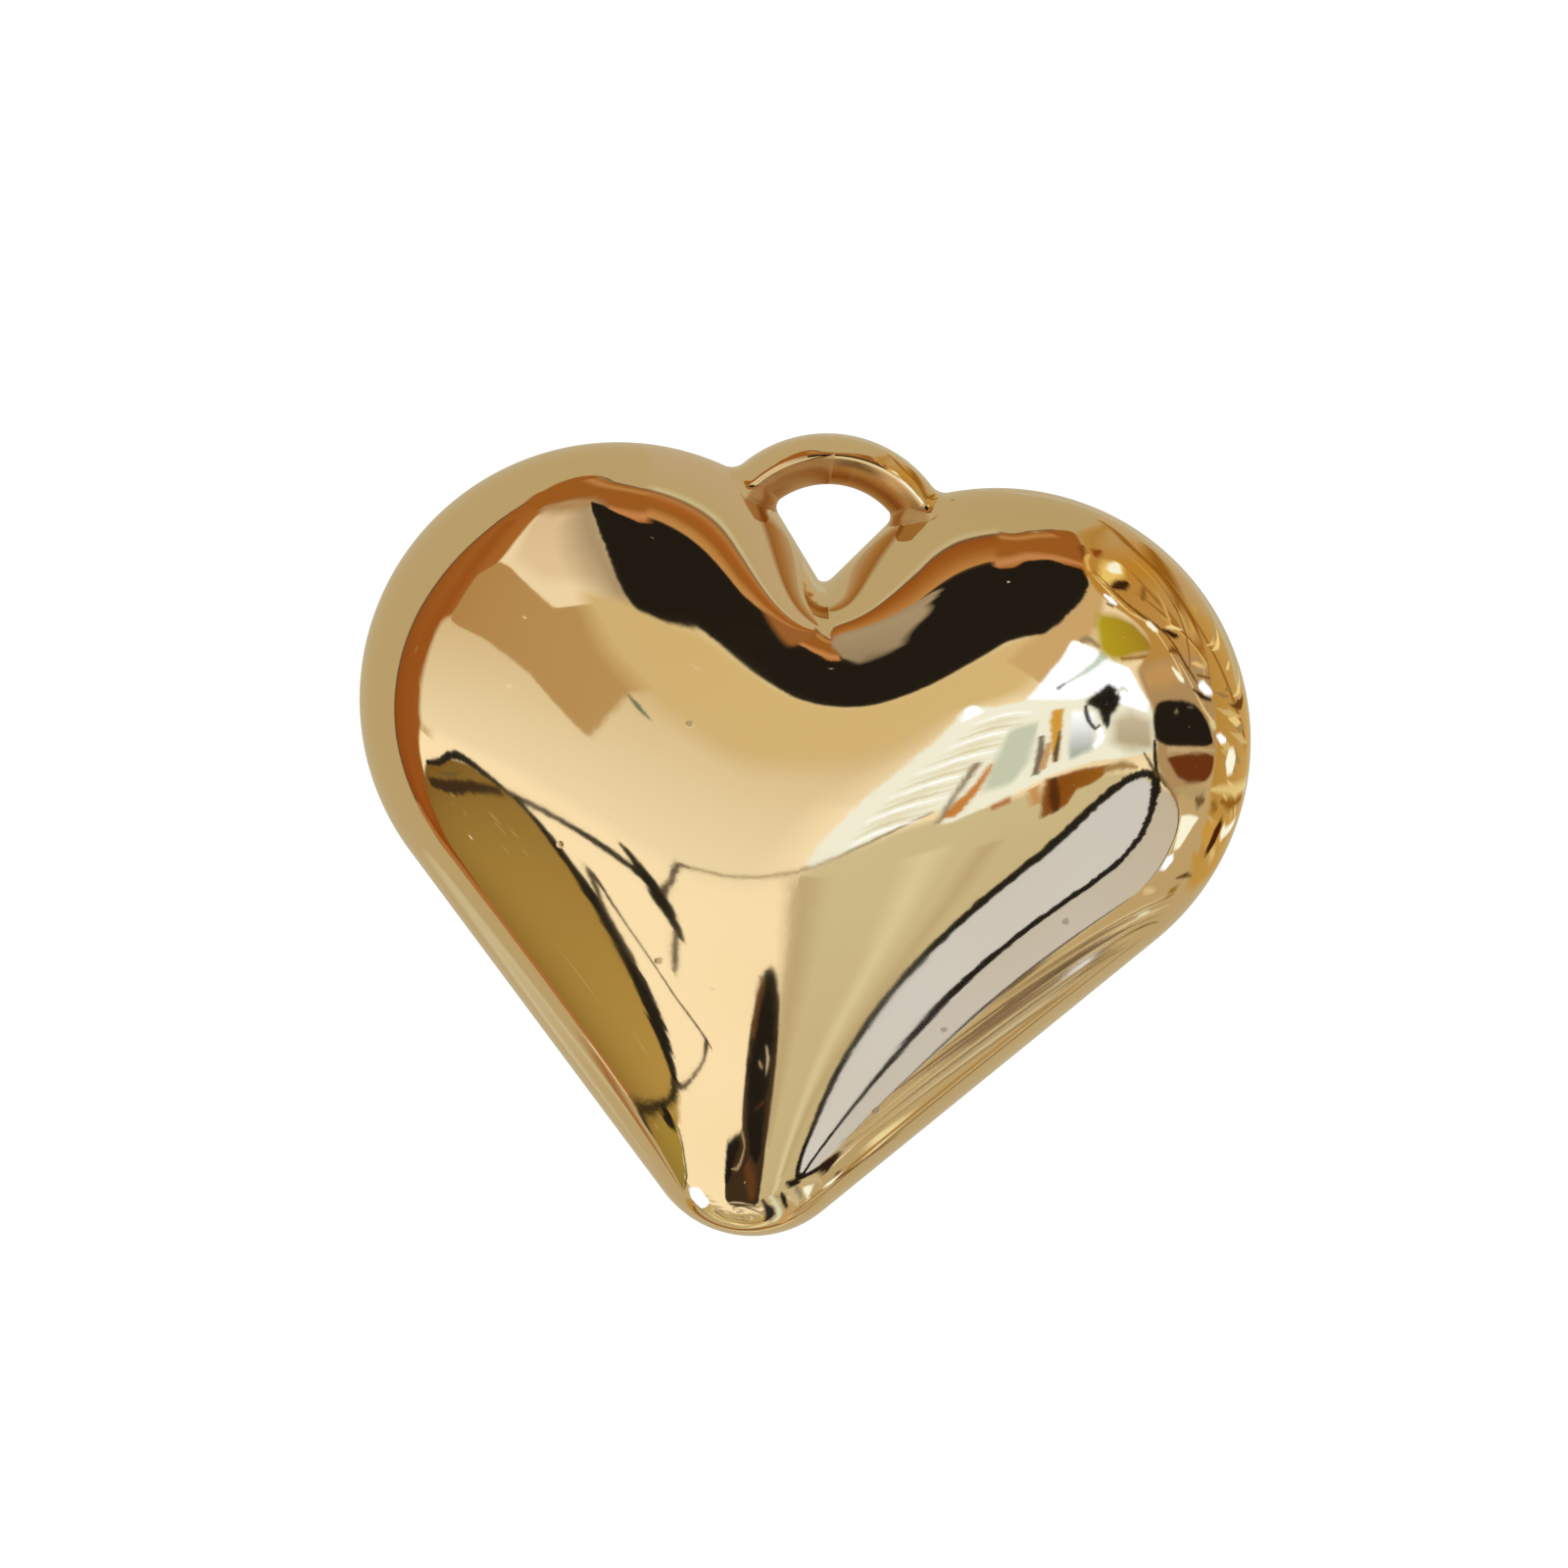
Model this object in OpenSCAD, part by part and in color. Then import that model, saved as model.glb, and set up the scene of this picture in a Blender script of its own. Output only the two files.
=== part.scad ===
// Puffed heart charm with its hanging loop, moulded in one piece.
// The origin is the centre of the loop's ring. +Z runs up the heart's axis
// through the loop, X runs across the lobes and Y through the thickness.
// The front face looks towards -Y. All sizes are in millimetres and degrees.

/* [Heart outline] */
// Width of the heart across both lobes
heart_w = 30; // [26:0.5:40]
// Radius of each lobe
lobe_r = 8.6; // [7:0.1:10]
// Angle between each straight side and the heart's axis
side_angle = 43.5; // [36:0.5:50]
// Radius of the rounded tip
tip_r = 3.7; // [1:0.1:6]
// Depth of the cleft below the tops of the lobes
cleft_depth = 3.9; // [2.8:0.1:5.5]
// Radius at the bottom of the cleft
cleft_r = 0.3; // [0.1:0.05:0.8]
// Radius of the shoulder that turns each lobe down into the cleft
shoulder_r = 4; // [2.5:0.1:5.5]
// Angle past the top of the lobe at which its shoulder starts
shoulder_start = 18; // [8:1:28]

/* [Dome] */
// Thickness through the fullest point of the heart
heart_t = 10.5; // [7:0.1:14]

/* [Loop] */
// Inside diameter of the ring
eye_d = 5.5; // [4.4:0.1:7]
// Thickness of the ring's wall in the plane of the heart
loop_wall = 1.65; // [1:0.05:2.5]
// Thickness of the ring's wall from front to back
loop_depth = 2.6; // [1.2:0.1:4]
// Radius of the ring's rounded edges
loop_edge_r = 0.7; // [0.2:0.05:0.8]
// Height of the ring's centre above the bottom of the cleft
loop_rise = 0.6; // [0:0.1:1.4]

/* [Hidden] */

gold = [0.86, 0.69, 0.42];

// Facets along each stretch of half the outline, from the tip to the cleft
tip_facets = 5;
side_facets = 16;
lobe_facets = 28;
shoulder_facets = 5;
flank_facets = 4;
cleft_facets = 3;
// Bands of facets from the middle of a face to the rim
bands = 14;
// Facets round the ring and round its edges
ring_fn = 96;
edge_fn = 32;

// Heights on the heart's axis, and the distance of a lobe's centre from it
cleft_z = -loop_rise;
lobe_x = heart_w / 2 - lobe_r;
lobe_z = cleft_z + cleft_depth - lobe_r;
// The straight sides touch the lobes and would meet at this height
side_meet_z = lobe_z - (lobe_x * cos(side_angle) + lobe_r) / sin(side_angle);
tip_centre_z = side_meet_z + tip_r / sin(side_angle);

// Where the lobes lie close together the rounding of the cleft gets less room:
// the shoulder starts before the lobe's arc comes near the axis, and its radius
// leaves the cleft's flank leaning from the axis by at least this angle
least_lean = 6;
shoulder_from = min(shoulder_start, asin(0.7 * lobe_x / lobe_r));
shoulder_turn = 90 + shoulder_from;
lobe_c = [lobe_x, lobe_z];
shoulder_top = lobe_c + lobe_r * [cos(shoulder_turn), sin(shoulder_turn)];
cleft_arc_r = min(cleft_r, shoulder_top.x / 3);
cleft_c = [0, cleft_z + cleft_arc_r];
shoulder_room = ((shoulder_top - cleft_c) * [cos(least_lean), -sin(least_lean)] - cleft_arc_r)
    / (1 - sin(shoulder_from + least_lean));
shoulder_arc_r = min(shoulder_r, shoulder_room);

// The shoulder's arc touches the lobe's arc from inside, and the cleft's flank
// touches the shoulder's arc and the arc at the cleft's bottom
shoulder_c = lobe_c + (lobe_r - shoulder_arc_r) * [cos(shoulder_turn), sin(shoulder_turn)];
reach = shoulder_c - cleft_c;
flank_turn = atan2(reach.y, reach.x) + asin((shoulder_arc_r + cleft_arc_r) / norm(reach));

function on_arc(c, r, turn) = c + r * [cos(turn), sin(turn)];
function arc(c, r, from, to, n) = [for (i = [0:n]) on_arc(c, r, from + (to - from) * i / n)];
function between(p, q, n) = [for (i = [1:n - 1]) p + (q - p) * i / n];

// Right half of the outline, [x, z] from the bottom of the tip to the cleft
tip_arc = arc([0, tip_centre_z], tip_r, -90, -side_angle, tip_facets);
lobe_arc = arc(lobe_c, lobe_r, -side_angle, shoulder_turn, lobe_facets);
shoulder_arc = arc(shoulder_c, shoulder_arc_r, shoulder_turn, 90 + flank_turn, shoulder_facets);
cleft_arc = arc(cleft_c, cleft_arc_r, flank_turn - 90, -90, cleft_facets);
half_rim = [
    each tip_arc,
    each between(tip_arc[tip_facets], lobe_arc[0], side_facets),
    each lobe_arc,
    each [for (i = [1:shoulder_facets]) shoulder_arc[i]],
    each between(shoulder_arc[shoulder_facets], cleft_arc[0], flank_facets),
    each cleft_arc,
];
half_n = len(half_rim) - 1;
rim_n = 2 * half_n;
rim = [
    each half_rim,
    for (i = [half_n - 1:-1:1]) [-half_rim[i].x, half_rim[i].y],
];
ones = [for (p = rim) 1];

// The hub lies on the axis, as far from the straight sides as from the cleft
hub = [0, (cleft_z + side_meet_z * sin(side_angle)) / (1 + sin(side_angle))];

// Closeness of the rim to point q: one over the distance to the rim, summed
// over all directions seen from q. Each edge of the rim adds its share.
function closeness(q) = ones * [
    for (i = [0:rim_n - 1])
        let (a = rim[i] - q, b = rim[(i + 1) % rim_n] - q, na = norm(a), nb = norm(b))
            (1 / na + 1 / nb) * (a.x * b.y - a.y * b.x) / (na * nb + a * b)
];

// Half of a face as spokes from the hub to the half rim. The bands crowd
// together at the rim, where the face turns down.
function band_scale(j) = sin(90 * j / bands);
function face_point(i, j) = hub + (half_rim[i] - hub) * band_scale(j);
hub_closeness = closeness(hub);
half_closeness = [
    for (j = [1:bands - 1]) [for (i = [0:half_n]) closeness(face_point(i, j))]
];
least = min([hub_closeness, each [for (band = half_closeness) min(band)]]);

// The face stands as the square root of the room around each point, so it
// meets the rim square on and swells to half the thickness in the middle.
function swell(c) = heart_t / 2 * sqrt(least / c);

// Spokes of the left half repeat those of the right half
function fold(i) = i <= half_n ? i : rim_n - i;
function side(i) = i <= half_n ? 1 : -1;

// Bands run from the front hub over the rim, which is band number bands, to
// the back hub. front is -1 on the front face and +1 on the back.
function dome_point(i, k) =
    let (front = k < bands ? -1 : 1, j = min(k, 2 * bands - k), p = face_point(fold(i), j))
        [side(i) * p.x, j == bands ? 0 : front * swell(half_closeness[j - 1][fold(i)]), p.y];

last_band = 2 * bands - 1;
function at(i, k) = 1 + (k - 1) * rim_n + i % rim_n;
back_hub = 1 + last_band * rim_n;

dome_points = [
    [hub.x, -swell(hub_closeness), hub.y],
    for (k = [1:last_band]) for (i = [0:rim_n - 1]) dome_point(i, k),
    [hub.x, swell(hub_closeness), hub.y],
];
dome_faces = [
    for (i = [0:rim_n - 1]) [0, at(i + 1, 1), at(i, 1)],
    for (k = [1:last_band - 1]) for (i = [0:rim_n - 1]) each [
        [at(i, k), at(i + 1, k), at(i, k + 1)],
        [at(i + 1, k), at(i + 1, k + 1), at(i, k + 1)],
    ],
    for (i = [0:rim_n - 1]) [back_hub, at(i, last_band), at(i + 1, last_band)],
];

// Domed heart, the same on both faces
module puffed_heart() {
    polyhedron(points = dome_points, faces = dome_faces, convexity = 4);
}

// Rectangle with rounded corners, centred on the origin
module soft_rectangle(w, h, r) {
    square([w - 2 * r, h], center = true);
    square([w, h - 2 * r], center = true);
    for (x = [-1, 1], y = [-1, 1])
        translate([x * (w / 2 - r), y * (h / 2 - r)]) circle(r, $fn = edge_fn);
}

// Ring that stands in the cleft, its lower half sunk into the heart
module hanging_loop() {
    edge = min(loop_edge_r, 0.48 * loop_wall, 0.48 * loop_depth);
    rotate([90, 0, 0])
        rotate_extrude($fn = ring_fn)
            translate([(eye_d + loop_wall) / 2, 0])
                soft_rectangle(loop_wall, loop_depth, edge);
}

module heart_charm() {
    color(gold) union() {
        puffed_heart();
        hanging_loop();
    }
}

heart_charm();
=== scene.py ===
"""Puffed heart charm with its hanging loop, in mirror-gold plating.

Laid out as a Blender add-on and run as a script. Lengths are in metres, in
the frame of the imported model: the origin is the centre of the loop's ring,
+Z runs up the heart's axis and the front face looks towards -Y.
"""

import math

import bpy
import numpy as np
from bpy.props import FloatProperty, FloatVectorProperty, IntProperty, PointerProperty
from bpy.types import Operator, Panel, PropertyGroup
from mathutils import Matrix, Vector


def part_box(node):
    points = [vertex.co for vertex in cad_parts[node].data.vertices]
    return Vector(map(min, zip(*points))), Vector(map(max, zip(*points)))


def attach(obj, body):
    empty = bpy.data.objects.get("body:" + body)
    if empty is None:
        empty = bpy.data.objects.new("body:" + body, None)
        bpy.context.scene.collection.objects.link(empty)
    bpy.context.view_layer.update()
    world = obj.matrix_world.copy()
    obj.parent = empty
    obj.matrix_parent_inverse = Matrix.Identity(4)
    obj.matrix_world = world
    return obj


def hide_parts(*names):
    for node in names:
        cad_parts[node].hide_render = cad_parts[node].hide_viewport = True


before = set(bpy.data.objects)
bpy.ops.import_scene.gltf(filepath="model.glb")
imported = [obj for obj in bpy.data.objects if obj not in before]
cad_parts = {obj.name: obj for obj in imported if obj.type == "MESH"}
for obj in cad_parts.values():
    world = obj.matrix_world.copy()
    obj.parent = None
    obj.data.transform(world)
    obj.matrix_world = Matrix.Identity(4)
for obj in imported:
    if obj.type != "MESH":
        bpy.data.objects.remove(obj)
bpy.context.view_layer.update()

bl_info = {
    "name": "Puffed heart charm",
    "version": (1, 0, 0),
    "blender": (4, 5, 0),
    "location": "View3D > Sidebar > Heart charm",
    "description": "Builds a puffed heart charm with its loop, its gold finish and its studio",
    "category": "Add Mesh",
}

mm = 0.001
LOW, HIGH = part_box("heart_charm")
# Middle of the heart, below the ring's centre
MIDDLE = np.array([0, 0, -9 * mm])

# Points along the stretches of half the outline
TIP, SIDE, LOBE, SHOULDER, FLANK, CLEFT = 26, 90, 150, 30, 24, 12
# The cleft's flank leans from the axis by at least this angle
LEAST_LEAN = math.radians(6)
# The fullest point lies between these shares of the hub's height
FULLEST = (0.55, 1.6)
# Points whose closeness is worked out together, and the least divisor
BLOCK, TINY = 4000, 1e-18

# Radius of bend of the ring's face, before it is brought to the width of its
# wall, by the way the face looks in degrees
BEND = ((-90, 0.5), (-70, 0.5), (-60, 1.5), (-25, 1.5), (-15, 0.18), (38, 0.18), (48, 1.3),
        (90, 1.3))
# How much the loop is worn and painted with the orange-brown it mirrors, a painted reflection, by
# the way it looks and by the angle round the ring
WEAR_AND_REFLECTION_LOOK = ((-90, 1), (-16, 1), (2, 0), (90, 0))
WEAR_AND_REFLECTION_ROUND = ((22, 0.35), (52, 1), (148, 1), (168, 0.4))
# Points on one face of the ring's section, on a flat wall and round the ring
FACE, WALL, ROUND = 44, 6, 288
# Rounds in which the ring's foot is worked out, and how far each one goes
FOOT_ROUNDS, FOOT_SHARE = 4, 0.6
NO_TRIANGLES = np.empty((0, 3), int)

# Heights in metres of the plating's slow and fine ripple and of its dots, the
# chances above which a cell has a dot and a sunk one, and the dots' colour
SLOW_HEIGHT, FINE_HEIGHT, DOT_HEIGHT = 3.2e-6, 0.5e-6, 6e-6
DOTTED, SUNK = 0.72, 0.84
DOT_BROWN = (0.30, 0.17, 0.06, 1)

# The picture's side and the place of the ring's centre in it, in pixels right
# of the middle and above it, and the width of the camera's sensor
PICTURE, AIM, SENSOR = 1600, (43.2, 223.6), 36

# Seed of the boards' uneven edges, and the share by which each stands nearer
SEED, LAYER = 11, 0.0022
# Gap between the screens over the cleft, and how far they lean to their side
# over this many mm from their pivot
SHEET, LEAN, LEAN_OVER = 0.012 * mm, 0.3 * mm, 4.6
# Points round a board's edge, and rows of points to a stretch of a strip
EDGE, STRETCH = 240, 24
# The gold's own colour straight on, which a board's glow has to make up for
MIRROR = (0.85, 0.645, 0.355)

# Half the floor's side, the lamp's width and power, and where it stands
FLOOR_HALF = 6.0
LAMP_SIZE, LAMP_POWER = 0.7, 1.2
LAMP_PLACE = np.array([-0.45, -0.6, 0.66])
LAMP_RIGHT = np.array([0.8, -0.6, 0])


def length(name, default, description):
    """A length in metres for the panel."""
    return FloatProperty(name=name, default=default, description=description,
                         unit="LENGTH", subtype="DISTANCE", precision=5)


def turn(name, degrees, description):
    """An angle for the panel, kept in radians."""
    return FloatProperty(name=name, default=math.radians(degrees), description=description,
                         subtype="ANGLE", unit="ROTATION")


def tone(name, default, description):
    """A linear colour for the panel."""
    return FloatVectorProperty(name=name, default=default, description=description,
                               subtype="COLOR", size=3, min=0, max=4)


class CharmSizes(PropertyGroup):
    """Sizes of the heart and of its ring."""
    heart_w: length("Heart width", HIGH[0] - LOW[0], "Width of the heart across both lobes")
    heart_t: length("Thickness", HIGH[1] - LOW[1], "Thickness through the fullest point")
    lobe_r: length("Lobe radius", 8.6 * mm, "Radius of each lobe")
    side_angle: turn("Side angle", 43.5, "Between each straight side and the heart's axis")
    tip_r: length("Tip radius", 3.7 * mm, "Radius of the rounded tip")
    cleft_depth: length("Cleft depth", 3.9 * mm, "Depth of the cleft below the lobes' tops")
    cleft_r: length("Cleft radius", 0.3 * mm, "Radius at the bottom of the cleft")
    shoulder_r: length("Shoulder radius", 4 * mm, "Radius that turns a lobe into the cleft")
    shoulder_start: turn("Shoulder start", 18, "Angle past the lobe's top where it starts")
    eye_d: length("Eye", 5.5 * mm, "Inside diameter of the ring")
    loop_wall: length("Loop wall", 1.65 * mm, "Ring's wall in the plane of the heart")
    loop_depth: length("Loop depth", 2.6 * mm, "Ring's wall from front to back")
    loop_rise: length("Loop rise", 0.6 * mm, "Ring's centre above the cleft's bottom")
    foot_r: length("Foot radius", 0.35 * mm, "Radius where the ring grows out of the lobes")
    bands: IntProperty(name="Bands", default=52, min=8, max=90,
                       description="Rows of faces from the middle of a face to the rim")


class CharmFinish(PropertyGroup):
    """Colours and finish of the plating."""
    gold: tone("Gold", (0.86, 0.66, 0.37), "Colour of the gold plating")
    deep_gold: tone("Deep gold", (0.80, 0.58, 0.29), "Where the plating is a little richer")
    # Painted reflection: the orange-brown that the slope inside the loop mirrors, painted into its
    # colour
    wear_and_reflection: tone("Rubbed gold", (0.62, 0.36, 0.14), "Colour of the rubbed slope inside the loop")
    polish: FloatProperty(name="Roughness", default=0.035, min=0, max=1,
                          description="Roughness of the mirror finish")
    ripple: FloatProperty(name="Ripple", default=1.0, min=0, max=4,
                          description="How much the fine ripple of the plating shows")
    specks: FloatProperty(name="Specks", default=1.0, min=0, max=4,
                          description="How deep the tiny pits and nibs are")


class CharmStudio(PropertyGroup):
    """View, floor and boards of the studio."""
    azimuth: turn("View azimuth", -5, "Camera's angle round the charm from the front")
    elevation: turn("View elevation", 8, "Camera's angle above the charm")
    roll: turn("Roll", 7.5, "How far the charm leans to the right in the picture")
    distance: length("Distance", 0.6, "From the camera to the charm")
    view_w: length("Picture width", 52.42 * mm, "Width that the picture takes in")
    floor_drop: length("Floor", 0.34, "Floor below the ring's centre")
    boards_r: length("Boards", 0.30, "How far the boards stand from the charm")


def arc(centre, radius, start, end, n):
    """n + 1 points on a circle of the given radius from angle start to end."""
    a = np.linspace(start, end, n + 1)
    return np.stack([centre[0] + radius * np.cos(a), centre[1] + radius * np.sin(a)], 1)


def half_outline(s):
    """Right half of the heart's outline as [x, z] from the tip to the cleft.

    Tip arc, straight side, lobe arc, shoulder arc, straight flank and the arc
    at the cleft's bottom, each touching the next one.
    """
    cleft_z = -s.loop_rise
    lobe = np.array([s.heart_w / 2 - s.lobe_r, cleft_z + s.cleft_depth - s.lobe_r])
    meet_z = lobe[1] - (lobe[0] * math.cos(s.side_angle) + s.lobe_r) / math.sin(s.side_angle)
    tip = np.array([0, meet_z + s.tip_r / math.sin(s.side_angle)])
    start = min(s.shoulder_start, math.asin(0.7 * lobe[0] / s.lobe_r))
    up = np.array([-math.sin(start), math.cos(start)])
    top = lobe + s.lobe_r * up
    cleft_r = min(s.cleft_r, top[0] / 3)
    cleft = np.array([0, cleft_z + cleft_r])
    room = (top - cleft) @ [math.cos(LEAST_LEAN), -math.sin(LEAST_LEAN)] - cleft_r
    shoulder_r = min(s.shoulder_r, room / (1 - math.sin(start + LEAST_LEAN)))
    shoulder = lobe + (s.lobe_r - shoulder_r) * up
    reach = shoulder - cleft
    flank = math.atan2(reach[1], reach[0]) + math.asin((shoulder_r + cleft_r) / np.hypot(*reach))
    quarter = math.pi / 2
    tip_arc = arc(tip, s.tip_r, -quarter, -s.side_angle, TIP)
    lobe_arc = arc(lobe, s.lobe_r, -s.side_angle, quarter + start, LOBE)
    shoulder_arc = arc(shoulder, shoulder_r, quarter + start, quarter + flank, SHOULDER)
    cleft_arc = arc(cleft, cleft_r, flank - quarter, -quarter, CLEFT)
    side = np.linspace(tip_arc[-1], lobe_arc[0], SIDE)
    flat = np.linspace(shoulder_arc[-1], cleft_arc[0], FLANK)
    return np.concatenate([tip_arc, side[1:-1], lobe_arc, shoulder_arc[1:], flat[1:-1], cleft_arc])


def outline(s):
    """Whole outline: the right half, and the left half as its mirror image."""
    half = half_outline(s)
    return np.concatenate([half, half[-2:0:-1] * [-1, 1]])


def closeness(points, rim):
    """How close the rim is to each point, summed over all directions.

    It is the integral of one over the distance to the rim, round the full
    circle. An edge seen as the vectors a and b from the point adds
    (1/|a| + 1/|b|) tan(half the angle between a and b).
    """
    total = np.empty(len(points))
    for block in np.array_split(np.arange(len(points)), 1 + len(points) // BLOCK):
        a = rim[None] - points[block, None]
        b = np.roll(a, -1, 1)
        na, nb = np.hypot(a[..., 0], a[..., 1]), np.hypot(b[..., 0], b[..., 1])
        cross = a[..., 0] * b[..., 1] - a[..., 1] * b[..., 0]
        near = np.maximum(na * nb + (a * b).sum(2), TINY)
        total[block] = ((1 / na + 1 / nb) * cross / near).sum(1)
    return total


def least_closeness(rim, hub_z):
    """Closeness at the heart's fullest point, found on its axis."""
    z = np.linspace(FULLEST[0] * hub_z, FULLEST[1] * hub_z, 400)
    return closeness(np.stack([0 * z, z], 1), rim).min()


def dome(s):
    """Points and faces of the domed heart, as a grid like a globe's.

    Spokes run from the hub on the heart's axis to the rim points, and a band
    crosses them at sin(90 deg * band / bands) of their length. A point stands
    half the thickness times sqrt(least closeness / its closeness) from the
    middle plane, which is nothing at the rim. Bands go from the front hub
    over the rim to the back hub.
    """
    rim = outline(s)
    n, bands = len(rim), s.bands
    side = rim[TIP]
    side_z = side[1] - side[0] / math.tan(s.side_angle)
    sine = math.sin(s.side_angle)
    hub = np.array([0, (side_z * sine - s.loop_rise) / (1 + sine)])
    least = least_closeness(rim, hub[1])
    scale = np.sin(np.linspace(0, math.pi / 2, bands + 1))[1:-1]
    plan = hub + (rim - hub) * scale[:, None, None]
    closest = closeness(plan.reshape(-1, 2), rim).reshape(bands - 1, n)
    y = np.vstack([s.heart_t / 2 * np.sqrt(least / closest), np.zeros(n)])
    y = np.minimum(y, s.heart_t / 2)
    xz = np.concatenate([plan, rim[None]])
    front = np.stack([xz[..., 0], -y, xz[..., 1]], 2)
    back = front[-2::-1] * [1, -1, 1]
    crown = s.heart_t / 2 * math.sqrt(least / closeness(hub[None], rim)[0])
    rows = np.concatenate([front, back]).reshape(-1, 3)
    points = np.concatenate([[[0, -crown, hub[1]]], rows, [[0, crown, hub[1]]]])
    i = np.arange(n)
    j = np.roll(i, -1)
    start = 1 + n * np.arange(2 * bands - 2)[:, None]
    quads = np.stack([start + i, start + i + n, start + j + n, start + j], 2).reshape(-1, 4)
    last = 1 + n * (2 * bands - 2)
    front_cap = np.stack([0 * i, 1 + i, 1 + j], 1)
    back_cap = np.stack([0 * i + len(points) - 1, last + j, last + i], 1)
    return points, np.concatenate([front_cap, back_cap]), quads


def gap_to_heart(points, s, rim, least):
    """Point's y squared less the dome's squared height there, below 0 inside."""
    return points[:, 1] ** 2 - (s.heart_t / 2) ** 2 * least / closeness(points[:, [0, 2]], rim)


def loop_section(s):
    """Points, outward normals and facing angle round the section of the loop.

    A face is drawn by the way it looks, from straight out (90 deg) over the
    front to straight in (-90 deg), with the radius of its bend interpolated
    between stops: a full outer shoulder, a tight crest and a long slope that
    looks into the eye. Its points are the sums of bend * (-cos, sin) * turn,
    brought to the width of the wall, and flat walls join front and back.
    """
    look = np.linspace(90, -90, FACE)
    bend = np.interp(look, *zip(*BEND))
    turn = np.radians(look)
    run = np.stack([-np.cos(turn), np.sin(turn)], 1)
    face = np.cumsum(-np.gradient(turn)[:, None] * bend[:, None] * run, 0)
    face *= s.loop_wall / (face[0, 0] - face[-1, 0])
    face += [s.loop_wall / 2 - face[0, 0], s.loop_depth / 2 - face[:, 1].max()]
    facing = np.stack([np.sin(turn), np.cos(turn)], 1)
    wall = np.linspace(1, -1, WALL + 2)[1:-1, None]
    inner, outer = np.tile(face[-1:], (WALL, 1)), np.tile(face[:1], (WALL, 1))
    inner[:, 1:] *= wall
    outer[:, 1:] *= -wall
    points = np.concatenate([face, inner, face[::-1] * [1, -1], outer])
    inwards, outwards = np.tile([[-1.0, 0]], (WALL, 1)), np.tile([[1.0, 0]], (WALL, 1))
    normals = np.concatenate([facing, inwards, facing[::-1] * [1, -1], outwards])
    looks = np.concatenate([look, np.full(WALL, -90), look[::-1], np.full(WALL, 90)])
    return points, normals, looks


def ring(s):
    """Points, faces, and share of wear and painted reflection of the hanging loop: its section
    carried round.

    Near the heart the section swells by r - sqrt(r^2 - (r - d)^2), where r is
    the radius of the foot and d the distance to the heart, taken as the gap
    in squared height over its slope. So the loop grows out of the lobes in a
    small hollow curve. The slope towards the eye is worn, and carries a painted
    reflection of the orange-brown it mirrors, less so at the right foot and at
    the left one.
    """
    section, facing, look = loop_section(s)
    n, m = ROUND, len(section)
    a = np.linspace(0, 2 * math.pi, n, endpoint=False)[:, None]
    middle = (s.eye_d + s.loop_wall) / 2
    radial = np.stack([np.cos(a), 0 * a, np.sin(a)], 2)
    across = np.array([0, 1, 0])
    points = radial * (middle + section[:, :1]) + across * section[:, 1:]
    normals = radial * facing[:, :1] + across * facing[:, 1:]
    points, normals = points.reshape(-1, 3), normals.reshape(-1, 3)
    rim = outline(s)[::3]
    least = least_closeness(rim, MIDDLE[2])
    step = 0.02 * mm
    here = gap_to_heart(points, s, rim, least)
    slopes = [(gap_to_heart(points + step * axis, s, rim, least) - here) / step
              for axis in np.eye(3)]
    slope = np.maximum(np.sqrt(sum(part ** 2 for part in slopes)), TINY)
    r = s.foot_r
    swell = np.zeros(len(points))
    for _ in range(FOOT_ROUNDS):
        moved = points + normals * swell[:, None]
        d = np.clip(gap_to_heart(moved, s, rim, least) / slope, 0, r)
        hollow = r - np.sqrt(r * r - (r - d) ** 2)
        swell = (1 - FOOT_SHARE) * swell + FOOT_SHARE * hollow
    points = points + normals * swell[:, None]
    i, j = np.meshgrid(np.arange(n), np.arange(m), indexing="ij")
    i2, j2 = (i + 1) % n, (j + 1) % m
    quads = np.stack([i * m + j, i * m + j2, i2 * m + j2, i2 * m + j], 2).reshape(-1, 4)
    # Share of wear, which makes the slope rougher, and of painted reflection, which paints it
    # browner
    wear_and_reflection = np.interp(look, *zip(*WEAR_AND_REFLECTION_LOOK)) * np.interp(np.degrees(a), *zip(*WEAR_AND_REFLECTION_ROUND))
    return points, NO_TRIANGLES, quads, wear_and_reflection.ravel()


def mesh_object(name, points, triangles, quads, material):
    """A smooth-shaded object at the origin from arrays of points and faces."""
    mesh = bpy.data.meshes.new(name)
    mesh.vertices.add(len(points))
    mesh.vertices.foreach_set("co", np.asarray(points, np.float32).ravel())
    sizes = np.concatenate([np.full(len(triangles), 3), np.full(len(quads), 4)])
    starts = np.concatenate([[0], np.cumsum(sizes)[:-1]]).astype(np.int32)
    corners = np.concatenate([triangles.ravel(), quads.ravel()]).astype(np.int32)
    mesh.loops.add(len(corners))
    mesh.loops.foreach_set("vertex_index", corners)
    mesh.polygons.add(len(sizes))
    mesh.polygons.foreach_set("loop_start", starts)
    mesh.polygons.foreach_set("use_smooth", np.ones(len(sizes), bool))
    mesh.update(calc_edges=True)
    mesh.validate()
    mesh.materials.append(material)
    piece = bpy.data.objects.new(name, mesh)
    bpy.context.scene.collection.objects.link(piece)
    return piece


class Wire:
    """A number on its way through a material. Arithmetic adds Math nodes."""

    def __init__(self, finish, socket):
        self.finish, self.socket = finish, socket

    def __add__(self, other): return self.finish.math("ADD", self, other)
    def __sub__(self, other): return self.finish.math("SUBTRACT", self, other)
    def __mul__(self, other): return self.finish.math("MULTIPLY", self, other)
    def __rsub__(self, other): return self.finish.math("SUBTRACT", other, self)
    def __gt__(self, other): return self.finish.math("GREATER_THAN", self, other)
    def most(self, other): return self.finish.math("MAXIMUM", self, other)
    __radd__, __rmul__ = __add__, __mul__


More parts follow.
